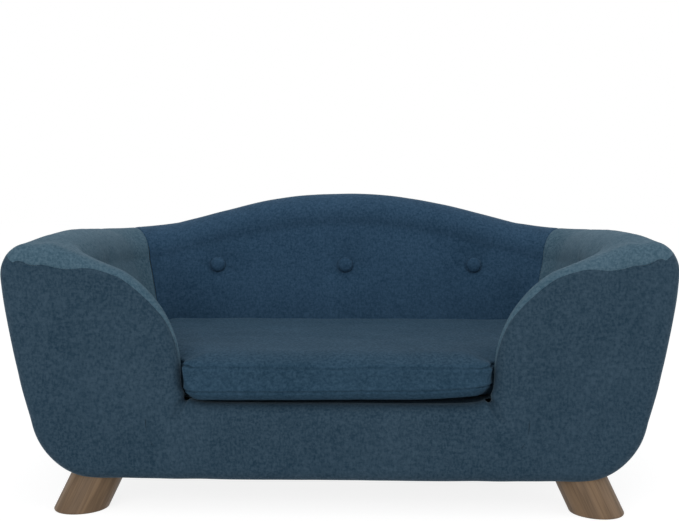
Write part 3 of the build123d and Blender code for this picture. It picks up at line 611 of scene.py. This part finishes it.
# Seat cushion: a T in plan, its front filling the opening, crowned and sewn round a boxing
CUSHION_FRONT, CUSHION_BACK = -228.0, 107.5
TONGUE_HALF, CUSHION_HALF = 175.5, 262.5
CUSHION_BOTTOM, CUSHION_TOP = 130.2, 183.0
LOWER_SEAM, UPPER_SEAM = 137.5, 168.0
CORNER_RADIUS = 20.0
CROWN_REACH, UNDER_REACH = 42, 16
RIM_STEPS = (0.0, 1.4, 3.0, 5.4, 9.0, 14.0)
BOXING_LEVELS = (0.05, 0.11, 0.2, 0.35, 0.5, 0.65, 0.8, 0.89, 0.95)


def cushion_half(y):
    """Half width of the cushion's T at y, with rounded corners."""
    half = TONGUE_HALF + (CUSHION_HALF - TONGUE_HALF) * (1 - wing_share(y))
    for near in (y - CUSHION_FRONT, CUSHION_BACK - y):
        if near < CORNER_RADIUS:
            half -= CORNER_RADIUS - sqrt(max(CORNER_RADIUS**2 - (CORNER_RADIUS - near) ** 2, 0))
    return half


front_steps = [CUSHION_FRONT + step for step in RIM_STEPS]
back_steps = [CUSHION_BACK - step for step in reversed(RIM_STEPS)]
cushion_run = np.concatenate((front_steps, np.linspace(front_steps[-1], back_steps[0], 54)[1:-1], back_steps))


def cushion_columns(half):
    """Places across the cushion, close together beside the seam."""
    return np.concatenate(([-half + step for step in RIM_STEPS[:-1]],
                           np.linspace(-1, 1, 78) * (half - RIM_STEPS[-1]),
                           [half - step for step in reversed(RIM_STEPS[:-1])]))


plan = np.array([[(x, y) for x in cushion_columns(cushion_half(y))] for y in cushion_run])
ROWS, ACROSS = plan.shape[:2]
rim_loop = [(0, j) for j in range(ACROSS)] + [(i, ACROSS - 1) for i in range(1, ROWS)]
rim_loop += [(ROWS - 1, j) for j in range(ACROSS - 2, -1, -1)] + [(i, 0) for i in range(ROWS - 2, 0, -1)]
rim = np.array([plan[i, j] for i, j in rim_loop])
rim_runs = np.roll(rim, -1, axis=0) - rim


def rim_distance(point):
    """How far a point in plan is from the cushion's edge."""
    share = np.clip(((point - rim) * rim_runs).sum(1) / np.maximum((rim_runs * rim_runs).sum(1), 1e-9), 0, 1)
    return np.linalg.norm(rim + rim_runs * share[:, None] - point, axis=1).min()


vertices, faces, rim_distances = [], [], []
top_index, bottom_index = {}, {}
for at in np.ndindex(ROWS, ACROSS):
    x, y = plan[at]
    distance = rim_distance(plan[at])
    crown = 1 - (1 - min(distance / CROWN_REACH, 1)) ** 2.5
    under = 1 - (1 - min(distance / UNDER_REACH, 1)) ** 2
    top_index[at] = len(vertices)
    bottom_index[at] = len(vertices) + 1
    vertices.append((x, y, UPPER_SEAM + (CUSHION_TOP - UPPER_SEAM - 2) * crown))
    vertices.append((x, y, LOWER_SEAM - (LOWER_SEAM - CUSHION_BOTTOM) * under))
    rim_distances += [distance, distance]
for i, j in np.ndindex(ROWS - 1, ACROSS - 1):
    square = ((i, j), (i, j + 1), (i + 1, j + 1), (i + 1, j))
    faces.append([top_index[key] for key in square])
    faces.append([bottom_index[key] for key in (square[0], *square[:0:-1])])
rim_normals = np.roll(rim, -1, axis=0) - np.roll(rim, 1, axis=0)
rim_normals = np.column_stack((rim_normals[:, 1], -rim_normals[:, 0]))
rim_normals /= np.linalg.norm(rim_normals, axis=1)[:, None]
loops = [[bottom_index[key] for key in rim_loop]]
for level in BOXING_LEVELS:
    loops.append(list(range(len(vertices), len(vertices) + len(rim))))
    height = LOWER_SEAM + (UPPER_SEAM - LOWER_SEAM) * level
    for point, normal in zip(rim, rim_normals):
        vertices.append((*(point - normal * 1.2 * sin(pi * level)), height))
loops.append([top_index[key] for key in rim_loop])
rim_distances += [0.0] * (len(vertices) - len(rim_distances))
for low, high in zip(loops, loops[1:]):
    faces += zip(low, low[1:] + low[:1], high[1:] + high[:1], high)
seat_cushion = new_piece("seat_cushion", vertices, faces)


def read_points(mesh):
    """A mesh's points, in metres."""
    points = np.empty(len(mesh.vertices) * 3)
    mesh.vertices.foreach_get("co", points)
    return points.reshape(-1, 3)


def write_points(mesh, points):
    """Move a mesh's points, in metres."""
    mesh.vertices.foreach_set("co", points.ravel())
    mesh.update()


CLOTH = {"quality": 6, "mass": 0.3, "tension_stiffness": 25, "compression_stiffness": 25, "shear_stiffness": 8,
         "bending_stiffness": 0.6, "use_pressure": True}


def swell(piece, pressure, frames, across_cap, up_cap):
    """Fill a closed cover with the Cloth solver, and keep how far each point moves within its caps."""
    before = read_points(piece.data)
    cloth = piece.modifiers.new("filling", "CLOTH")
    for label, value in CLOTH.items():
        setattr(cloth.settings, label, value)
    cloth.settings.uniform_pressure_force = pressure
    cloth.settings.effector_weights.gravity = 0
    cloth.collision_settings.use_collision = False
    scene.frame_start, scene.frame_end = 1, frames
    cloth.point_cache.frame_start, cloth.point_cache.frame_end = 1, frames
    for step in range(1, frames + 1):
        scene.frame_set(step)
    after = read_points(piece.evaluated_get(bpy.context.evaluated_depsgraph_get()).data)
    piece.modifiers.remove(cloth)
    scene.frame_set(1)
    moved = after - before
    moved[:, :2] = np.clip(moved[:, :2] * 0.5, -across_cap * MM, across_cap * MM)
    moved[:, 2] = np.clip(moved[:, 2], -up_cap * MM, up_cap * MM)
    write_points(piece.data, before + moved)


swell(seat_cushion, 4.0, 20, 1.0, 3.0)

# Seams of the cushion, pulled in after it is filled, and the seam allowances that stand beside them
SEAM_PULLS = ((0, -3.6), (1, -0.3), (2, 0.6), (3, 0.3), (-4, 0.3), (-3, 0.6), (-2, -0.3), (-1, -3.6))
points = read_points(seat_cushion.data) / MM
across, back, up = points.T  # the same numbers: a change to one moves the points
distances = np.array(rim_distances)
top_side = up > (LOWER_SEAM + UPPER_SEAM) / 2
welt = 1.0 * np.exp(-((distances - 3.4) / 1.8) ** 2) * (distances > 0.5)
up += np.where(top_side, welt, 0)
for row, pull in SEAM_PULLS:
    points[loops[row], :2] += rim_normals * pull
for index, (x, y, z) in enumerate(points):
    ripple = noise.noise(Vector((x / 55, y / 40, z / 30)))
    puckers = noise.noise(Vector((x / 9, y / 9, z / 26)))
    if z > UPPER_SEAM - 1:
        rise = 1.0 * ripple * ease(distances[index] / 20)
        points[index, 2] += rise + 0.35 * puckers * np.exp(-distances[index] / 9)
    elif z > LOWER_SEAM + 1 and y < CUSHION_FRONT + 25:
        points[index, 1] -= 0.5 * ripple + 0.25 * puckers

# Ears where the top is turned over the two front corners
for sign in (-1, 1):
    corner = np.array((sign * (TONGUE_HALF - 7), CUSHION_FRONT + 7))
    reach = np.linalg.norm(points[:, :2] - corner, axis=1)
    raised = (up - LOWER_SEAM) / (UPPER_SEAM - LOWER_SEAM)
    filled = np.exp(-(reach / 8) ** 2) * np.clip(raised * 1.5, 0, 1)
    across += sign * 3.2 * filled
    back -= 2.6 * filled
    up += 2.4 * np.exp(-((reach - 2) / 8) ** 2) * np.clip(raised, 0, 1)
    valley = np.abs(across * sign - (TONGUE_HALF - 16) - (back - CUSHION_FRONT) * 0.25)
    depth = 1.5 * np.exp(-(valley / 3.2) ** 2) * np.exp(-((back - CUSHION_FRONT) / 26) ** 2)
    up -= depth * np.clip(raised - 0.4, 0, 0.6)
    back += depth * 0.7 * np.clip(raised, 0, 1)

# A fold that stands beside the left front corner: a ridge and a valley, each with its x, width and height
upright = np.clip((up - 148) / 8, 0, 1) * (back < CUSHION_FRONT + 16)
for middle, width, out in ((-172.0, 3.0, 3.0), (-165.5, 2.6, -4.0)):
    back -= out * np.exp(-((across - middle) / width) ** 2) * upright

# The lower edge stands clear of the apron in front, more so towards the right
across_share = (across + TONGUE_HALF) / (2 * TONGUE_HALF)
lift = 2.4 + 3.2 * np.clip(across_share, 0, 1) + 6.0 * np.clip(across_share * 4 - 3, 0, 1) ** 1.5
near_front = np.exp(-(np.maximum(back - CUSHION_FRONT - 8, 0) / 42) ** 2)
up += lift * near_front * np.clip((UPPER_SEAM - up) / (UPPER_SEAM - LOWER_SEAM), 0, 1)
up[:] = np.maximum(up, CUSHION_BOTTOM)
write_points(seat_cushion.data, points * MM)
smoothed(seat_cushion)

# Cloth-covered buttons with gathered rims
BUTTON_RADIUS, GATHERS = 11, 18
BUTTON_RINGS = ((0.0, 2.6), (3.0, 2.5), (6.0, 2.0), (8.6, 0.9), (10.2, -0.8), (11.0, -2.6), (10.6, -4.6), (9.0, -6.4))


def button_grid(origin, normal):
    """A domed button on a plane through origin, in millimetres."""
    normal = Vector(normal).normalized()
    across = normal.orthogonal().normalized()
    up = normal.cross(across)
    rows = []
    for radius, height in BUTTON_RINGS:
        row = []
        gather = (radius / BUTTON_RADIUS) ** 3
        for k in range(73):
            turn = 2 * pi * k / 72
            pleat = cos(GATHERS * turn) * gather
            r = radius * (1 - 0.02 * pleat)
            row.append(tuple(Vector(origin) + across * (r * cos(turn)) + up * (r * sin(turn))
                             + normal * (height + 0.22 * pleat)))
        rows.append(row)
    return np.array(rows)


back_buttons = mesh_piece("covered_back_buttons",
                          [button_grid(place, (0, -1, slope)) for place, slope in back_button_places])
arm_buttons = mesh_piece("covered_arm_buttons", [
    button_grid((sign * arm_reach, ARM_BUTTON_Y, BUTTON_LEVEL), (-sign, 0, arm_slope)) for sign in (-1, 1)])

# Zip tapes on the cushion's rear boxing, woven bands with a rolled outer edge
ZIP_LEVEL = CUSHION_BOTTOM + 51.7 * 0.43
TAPE_WIDTH, TAPE_GAP = 9.0, 0.25
TAPE_FACE = ((0.0, 0.0), (0.02, 0.5), (0.5, 0.45), (0.9, 0.45), (0.96, 0.75), (1.0, 0.0))
tape_low, tape_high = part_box("zip_tapes")
tape_front, tape_back = tape_high[1] / MM, tape_low[1] / MM
tape_grids = []
for sign in (-1, 1):
    rows = []
    for x in np.linspace(tape_low[0] / MM, tape_high[0] / MM, 96):
        profile = [(tape_front - 0.75 + thick + 0.12 * noise.noise(Vector((x / 14, share * 3, sign))), share)
                   for share, thick in TAPE_FACE]
        profile += [(tape_back + 0.1, share) for share in (0.9, 0.5, 0.0)]
        profile = [(x, y, ZIP_LEVEL + sign * (TAPE_GAP + TAPE_WIDTH * share)) for y, share in profile]
        rows.append((profile + profile[:1])[::sign])
    tape_grids.append(np.array(rows))
zip_tape = mesh_piece("zip_tape", tape_grids, levels=0)

# Materials
FINISH_OUTPUTS = {"Colour": "NodeSocketColor", "Roughness": "NodeSocketFloat", "Height": "NodeSocketFloat"}


def new_group(name, inputs):
    """An empty shader node group with named sockets, and the place on the piece that it starts from."""
    group = bpy.data.node_groups.new(name, "ShaderNodeTree")
    for label, kind, value in inputs:
        socket = group.interface.new_socket(label, in_out="INPUT", socket_type="NodeSocket" + kind)
        socket.default_value = value
    for label, kind in FINISH_OUTPUTS.items():
        group.interface.new_socket(label, in_out="OUTPUT", socket_type=kind)
    given = group.nodes.new("NodeGroupInput").outputs
    place = group.nodes.new("ShaderNodeTexCoord").outputs["Object"]
    return group, given, place


def put_out(group, *values):
    """Join a group's colour, roughness and height to its outputs."""
    output = group.nodes.new("NodeGroupOutput")
    for label, value in zip(FINISH_OUTPUTS, values):
        group.links.new(value, output.inputs[label])


def set_inputs(node, values):
    """Give a node's inputs their own values."""
    for label, value in values.items():
        node.inputs[label].default_value = value


def math_node(group, operation, first, second=None):
    node = group.nodes.new("ShaderNodeMath")
    node.operation = operation
    for socket, value in zip(node.inputs, (first, second)):
        if isinstance(value, (int, float)):
            socket.default_value = value
        elif value is not None:
            group.links.new(value, socket)
    return node.outputs[0]


def times(group, first, second):
    return math_node(group, "MULTIPLY", first, second)


def plus(group, first, second):
    return math_node(group, "ADD", first, second)


def noise_node(group, vector, scale, detail, roughness):
    node = group.nodes.new("ShaderNodeTexNoise")
    set_inputs(node, {"Scale": scale, "Detail": detail, "Roughness": roughness})
    group.links.new(vector, node.inputs["Vector"])
    return node.outputs["Fac"]


def stretched(group, vector, scale):
    """A place scaled by three numbers, or by a vector socket."""
    node = group.nodes.new("ShaderNodeVectorMath")
    node.operation = "MULTIPLY"
    group.links.new(vector, node.inputs[0])
    if isinstance(scale, tuple):
        node.inputs[1].default_value = scale
    else:
        group.links.new(scale, node.inputs[1])
    return node.outputs[0]


def mix_colours(group, share, first, second):
    node = group.nodes.new("ShaderNodeMix")
    node.data_type = "RGBA"
    group.links.new(share, node.inputs["Factor"])
    group.links.new(first, node.inputs[6])
    group.links.new(second, node.inputs[7])
    return node.outputs[2]


def clamp_range(group, value, low, high, to_low=0, to_high=1):
    node = group.nodes.new("ShaderNodeMapRange")
    group.links.new(value, node.inputs["Value"])
    set_inputs(node, {"From Min": low, "From Max": high, "To Min": to_low, "To Max": to_high})
    return node.outputs["Result"]


def pile_group():
    """Short-pile cloth: slubs along the warp, crossing weft, brushed patches and fine pile."""
    group, given, place = new_group("pile cloth", [
        ("Deep", "Color", (0.02, 0.05, 0.09, 1)),
        ("Light", "Color", (0.06, 0.11, 0.17, 1)),
        ("Warp", "Vector", (700, 700, 60)),
        ("Weft", "Vector", (90, 90, 900)),
        ("Brushed", "Float", 0.3),
        ("Relief", "Float", 0.3)])
    warp, weft = [clamp_range(group, noise_node(group, stretched(group, place, given[label]), 1, 3, 0.6),
                              0.38, 0.62) for label in ("Warp", "Weft")]
    patches = noise_node(group, place, 9, 3, 0.55)
    strokes = noise_node(group, stretched(group, place, (26, 26, 14)), 1, 2, 0.5)
    pile = noise_node(group, place, 1500, 1, 0.5)
    weave = plus(group, times(group, warp, 0.6), times(group, weft, 0.4))
    brushed = plus(group, times(group, patches, 0.55), times(group, strokes, 0.45))
    amount = times(group, clamp_range(group, brushed, 0.35, 0.65), given["Brushed"])
    rest = math_node(group, "SUBTRACT", 1, given["Brushed"])
    tone = plus(group, amount, times(group, weave, rest))
    put_out(group, mix_colours(group, tone, given["Deep"], given["Light"]),
            clamp_range(group, weave, 0, 1, 0.95, 0.78),
            plus(group, times(group, weave, given["Relief"]), times(group, pile, 0.35)))
    return group


def grain_group():
    """Planed wood: long rings, darker pores and a little stain in the hollows."""
    group, given, place = new_group("wood grain", [
        ("Along", "Vector", (0, 0, 0)),
        ("Pale", "Color", (0.4, 0.27, 0.16, 1)),
        ("Dark", "Color", (0.16, 0.1, 0.06, 1)),
        ("Rings", "Float", 90),
        ("Pores", "Float", 0.5)])
    turned = group.nodes.new("ShaderNodeVectorRotate")
    turned.rotation_type = "EULER_XYZ"
    group.links.new(place, turned.inputs["Vector"])
    group.links.new(given["Along"], turned.inputs["Rotation"])
    grain = turned.outputs["Vector"]
    bend = noise_node(group, stretched(group, grain, (14, 14, 3)), 1, 2, 0.5)
    rings = noise_node(group, stretched(group, grain, (1, 1, 0.05)), 90, 3, 0.6)
    pores = noise_node(group, stretched(group, grain, (900, 900, 30)), 1, 2, 0.6)
    band = times(group, plus(group, rings, times(group, bend, 0.5)), times(group, given["Rings"], 0.11))
    wave = math_node(group, "SINE", times(group, band, 3))
    fleck = times(group, clamp_range(group, pores, 0.52, 0.7), given["Pores"])
    tone = plus(group, times(group, clamp_range(group, wave, -1, 1), 0.6), fleck)
    put_out(group, mix_colours(group, tone, given["Pale"], given["Dark"]),
            clamp_range(group, tone, 0, 1, 0.45, 0.62), math_node(group, "SUBTRACT", 1, tone))
    return group


def plate_group():
    """Plated wire and sheet: faint drawing lines and dull spots."""
    group, given, place = new_group("plated metal", [
        ("Bright", "Color", (0.6, 0.6, 0.6, 1)),
        ("Dull", "Color", (0.35, 0.35, 0.35, 1))])
    spots = noise_node(group, place, 220, 4, 0.6)
    lines = noise_node(group, stretched(group, place, (2500, 400, 2500)), 1, 1, 0.5)
    put_out(group, mix_colours(group, clamp_range(group, spots, 0.4, 0.65), given["Bright"], given["Dull"]),
            clamp_range(group, spots, 0.3, 0.7, 0.28, 0.5), lines)
    return group


PILE, GRAIN, PLATE = pile_group(), grain_group(), plate_group()


def finish_material(name, group, values, bump, distance, **shader_values):
    """A material that takes its colour, roughness and relief from a group."""
    material = bpy.data.materials.new(name)
    material.use_nodes = True
    tree = material.node_tree
    shader = tree.nodes["Principled BSDF"]
    source = tree.nodes.new("ShaderNodeGroup")
    source.node_tree = group
    set_inputs(source, values)
    tree.links.new(source.outputs["Colour"], shader.inputs["Base Color"])
    tree.links.new(source.outputs["Roughness"], shader.inputs["Roughness"])
    relief = tree.nodes.new("ShaderNodeBump")
    set_inputs(relief, {"Strength": bump, "Distance": distance})
    tree.links.new(source.outputs["Height"], relief.inputs["Height"])
    tree.links.new(relief.outputs["Normal"], shader.inputs["Normal"])
    set_inputs(shader, {label.replace("_", " ").title().replace("Ior", "IOR"): value
                        for label, value in shader_values.items()})
    return material


def velvet(name, deep, light, warp=(400, 400, 250), weft=(190, 190, 420), brushed=0.26, sheen=0.3):
    return finish_material(
        name, PILE, {"Deep": (*deep, 1), "Light": (*light, 1), "Warp": warp, "Weft": weft, "Brushed": brushed},
        bump=0.55, distance=0.0005, sheen_weight=sheen, sheen_roughness=0.35, sheen_tint=(0.4, 0.55, 0.66, 1),
        specular_ior_level=0.15)


velvet_front = velvet("velvet_front", (0.008, 0.027, 0.047), (0.036, 0.067, 0.098))
# The arms' velvet is the front's cloth painted lighter, as painted sheen where the pile catches the light on the arm
# tops and rolled front edges; its real sheen is kept low.
velvet_arm_painted_sheen = velvet("velvet_arm_painted_sheen", (0.028, 0.067, 0.099), (0.08, 0.139, 0.184), sheen=0.08)
velvet_back = velvet("velvet_back", (0.01, 0.035, 0.069), (0.033, 0.077, 0.135), sheen=0.15)
velvet_seat = velvet("velvet_seat", (0.008, 0.029, 0.052), (0.029, 0.067, 0.108), warp=(400, 250, 400),
                     weft=(190, 420, 190), sheen=0.04)
lining = velvet("lining", (0.012, 0.03, 0.05), (0.03, 0.06, 0.09), warp=(900, 70, 900),
                weft=(70, 900, 90), brushed=0.1, sheen=0.1)
dust_material = velvet("dust_cloth", (0.012, 0.012, 0.014), (0.04, 0.04, 0.044), warp=(380, 380, 380),
                       weft=(520, 260, 400), brushed=0.2, sheen=0.1)
tape_material = velvet("zip_tape", (0.01, 0.025, 0.045), (0.03, 0.06, 0.095), warp=(1800, 400, 2400),
                       weft=(2400, 400, 1800), brushed=0.05, sheen=0.05)
twine_material = velvet("twine", (0.3, 0.26, 0.19), (0.55, 0.5, 0.4), warp=(3000, 3000, 800),
                        weft=(1500, 1500, 3000), brushed=0.1, sheen=0)


def wood(name, along_grain, tones, rings=60, pores=0.5):
    """Planed wood with its grain turned from upright by along_grain."""
    pale, dark = tones
    return finish_material(name, GRAIN, {"Along": along_grain, "Pale": (*pale, 1), "Dark": (*dark, 1),
                                         "Rings": rings, "Pores": pores},
                           bump=0.25, distance=0.0006, specular_ior_level=0.35)


LEG_SIDE, LEG_END = 0.46, 0.31
LEG_TONES = (0.185, 0.117, 0.064), (0.08, 0.048, 0.025)
PINE = (0.66, 0.47, 0.27), (0.45, 0.28, 0.14)
PLYWOOD = (0.62, 0.45, 0.28), (0.42, 0.28, 0.16)
ALONG_X, ALONG_Y, UPRIGHT = (0, pi / 2, 0), (pi / 2, 0, 0), (0, 0, 0)

pine_x, pine_y, pine_z = [wood(name, turn, PINE) for name, turn in (
    ("pine_along_x", ALONG_X), ("pine_along_y", ALONG_Y), ("pine_upright", UPRIGHT))]
ply_x, ply_y = [wood(name, turn, PLYWOOD, rings=45, pores=0.3) for name, turn in (
    ("plywood_along_x", ALONG_X), ("plywood_along_y", ALONG_Y))]
zinc = finish_material("zinc", PLATE, {"Bright": (0.62, 0.63, 0.65, 1), "Dull": (0.42, 0.43, 0.45, 1)},
                       bump=0.08, distance=0.0001, metallic=1)
zip_metal = finish_material("zip_metal", PLATE, {"Bright": (0.3, 0.29, 0.27, 1), "Dull": (0.16, 0.155, 0.15, 1)},
                            bump=0.08, distance=0.0001, metallic=1)

# Materials of the solids that are shown as they are
node_materials = {}
for end_name, end_sign in (("front", -1), ("rear", 1)):
    for side_name, side_sign in (("left", -1), ("right", 1)):
        tilt = (-atan2(end_sign * LEG_END, 1), atan2(side_sign * LEG_SIDE, hypot(1, LEG_END)), 0)
        node_materials[f"{end_name}_{side_name}_leg"] = wood(
            f"leg_wood_{end_name}_{side_name}", tilt, LEG_TONES, pores=0.25)
for material, names in (
        (zinc, "leg_bolts leg_inserts deck_screws staples button_washers"),
        (zip_metal, "zip_teeth zip_stops zip_slider"),
        (pine_x, "front_rail back_rail"),
        (pine_y, "centre_rail left_side_rail right_side_rail left_top_rail right_top_rail"),
        (pine_z, "front_left_block front_right_block rear_left_block rear_right_block"),
        (pine_z, "left_front_post right_front_post left_rear_post right_rear_post"),
        (ply_x, "deck_board front_board back_board"),
        (ply_y, "left_arm_board right_arm_board"),
        (twine_material, "button_twines")):
    for name in names.split():
        node_materials[name] = material
for name, material in node_materials.items():
    for slot in nodes[name].material_slots:
        slot.material = material

# Every piece, with its material, what it stands for and the body it rides on
pieces = (
    (right_arm_wrap, velvet_arm_painted_sheen, ("right_arm_cover", "right_arm_foam"), "sofa", "velvet", 0.85),
    (left_arm_wrap, velvet_arm_painted_sheen, ("left_arm_cover", "left_arm_foam"), "sofa", "velvet", 0.85),
    (right_side_panel, velvet_front, (), "sofa", "velvet", 0.9),
    (left_side_panel, velvet_front, (), "sofa", "velvet", 0.9),
    (back_wrap, velvet_back, ("back_cover", "back_foam"), "sofa", "velvet", 0.85),
    (rear_panel, velvet_front, ("rear_cover",), "sofa", "velvet", 0.9),
    (front_panel, velvet_front, ("front_cover", "front_foam"), "sofa", "velvet", 0.9),
    (deck_cloth, lining, ("deck_cover", "deck_foam"), "sofa", "velvet", 0.6),
    (dust_cloth, dust_material, ("dust_cover",), "sofa", "dust_cloth", None),
    (seat_cushion, velvet_seat, ("cushion_cover", "cushion_foam"), "seat_cushion", "velvet", 0.7),
    (back_buttons, velvet_back, ("back_buttons",), "sofa", "velvet", 0.9),
    (arm_buttons, velvet_arm_painted_sheen, ("arm_buttons",), "sofa", "velvet", 0.9),
    (zip_tape, tape_material, ("zip_tapes",), "seat_cushion", "zip_tape", None),
)
for piece, material, replaced, body, slot_name, fill in pieces:
    piece.data.materials.append(material)
    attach(piece, body)
    if replaced:
        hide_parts(*replaced)

# Floor, backdrop and light
WHITE = (1, 1, 1, 1)
FLOOR_GLOW, FLOOR_GLOW_SHARE = 1.19, 0.72
ROOM_LIGHT = 0.55


def seen_rays(tree):
    """One for rays from the camera and for those that glass and metal send on to it."""
    path = tree.nodes.new("ShaderNodeLightPath")
    direct = math_node(tree, "MAXIMUM", path.outputs["Is Camera Ray"], path.outputs["Is Transmission Ray"])
    return math_node(tree, "MAXIMUM", direct, path.outputs["Is Glossy Ray"])


def white_node(tree, kind, strength):
    """An even white glow."""
    node = tree.nodes.new(kind)
    set_inputs(node, {"Color": WHITE, "Strength": strength})
    return node


def blended(tree, share, first, second, target):
    """Show the second shader by a share, over the first."""
    blend = tree.nodes.new("ShaderNodeMixShader")
    tree.links.new(share, blend.inputs["Fac"])
    tree.links.new(first.outputs[0], blend.inputs[1])
    tree.links.new(second.outputs[0], blend.inputs[2])
    tree.links.new(blend.outputs[0], tree.nodes[target].inputs["Surface"])


floor_mesh = bpy.data.meshes.new("floor")
floor_mesh.from_pydata([(-6, -6, 0), (6, -6, 0), (6, 6, 0), (-6, 6, 0)], [], [(0, 1, 2, 3)])
floor = placed("floor", floor_mesh)
floor_material = bpy.data.materials.new("pale_floor")
floor_material.use_nodes = True
tree = floor_material.node_tree
paint = tree.nodes["Principled BSDF"]
set_inputs(paint, {"Base Color": (0.9, 0.9, 0.9, 1), "Roughness": 0.9, "Specular IOR Level": 0.1})
glow = white_node(tree, "ShaderNodeEmission", FLOOR_GLOW)
blended(tree, times(tree, seen_rays(tree), FLOOR_GLOW_SHARE), paint, glow, "Material Output")
floor.data.materials.append(floor_material)

world = bpy.data.worlds.new("studio")
scene.world = world
world.use_nodes = True
tree = world.node_tree
background = tree.nodes["Background"]
set_inputs(background, {"Color": WHITE, "Strength": ROOM_LIGHT})
blended(tree, seen_rays(tree), background, white_node(tree, "ShaderNodeBackground", 1.0), "World Output")


def area_light(name, place, aim, size, power):
    data = bpy.data.lights.new(name, "AREA")
    data.shape = "RECTANGLE"
    data.size, data.size_y = size
    data.energy = power
    lamp = placed(name, data)
    lamp.location = place
    lamp.rotation_euler = (Vector(aim) - Vector(place)).to_track_quat("-Z", "Y").to_euler()


area_light("soft_front", (-0.7, -2.2, 1.2), (0, 0, 0.15), (1.8, 1.2), 22)
area_light("soft_top", (0.1, 0.2, 2.0), (0, 0, 0.2), (1.6, 1.2), 8)
area_light("soft_right", (1.9, -0.9, 1.2), (0, 0, 0.2), (1.0, 1.2), 8)

scene.view_settings.view_transform = "Standard"
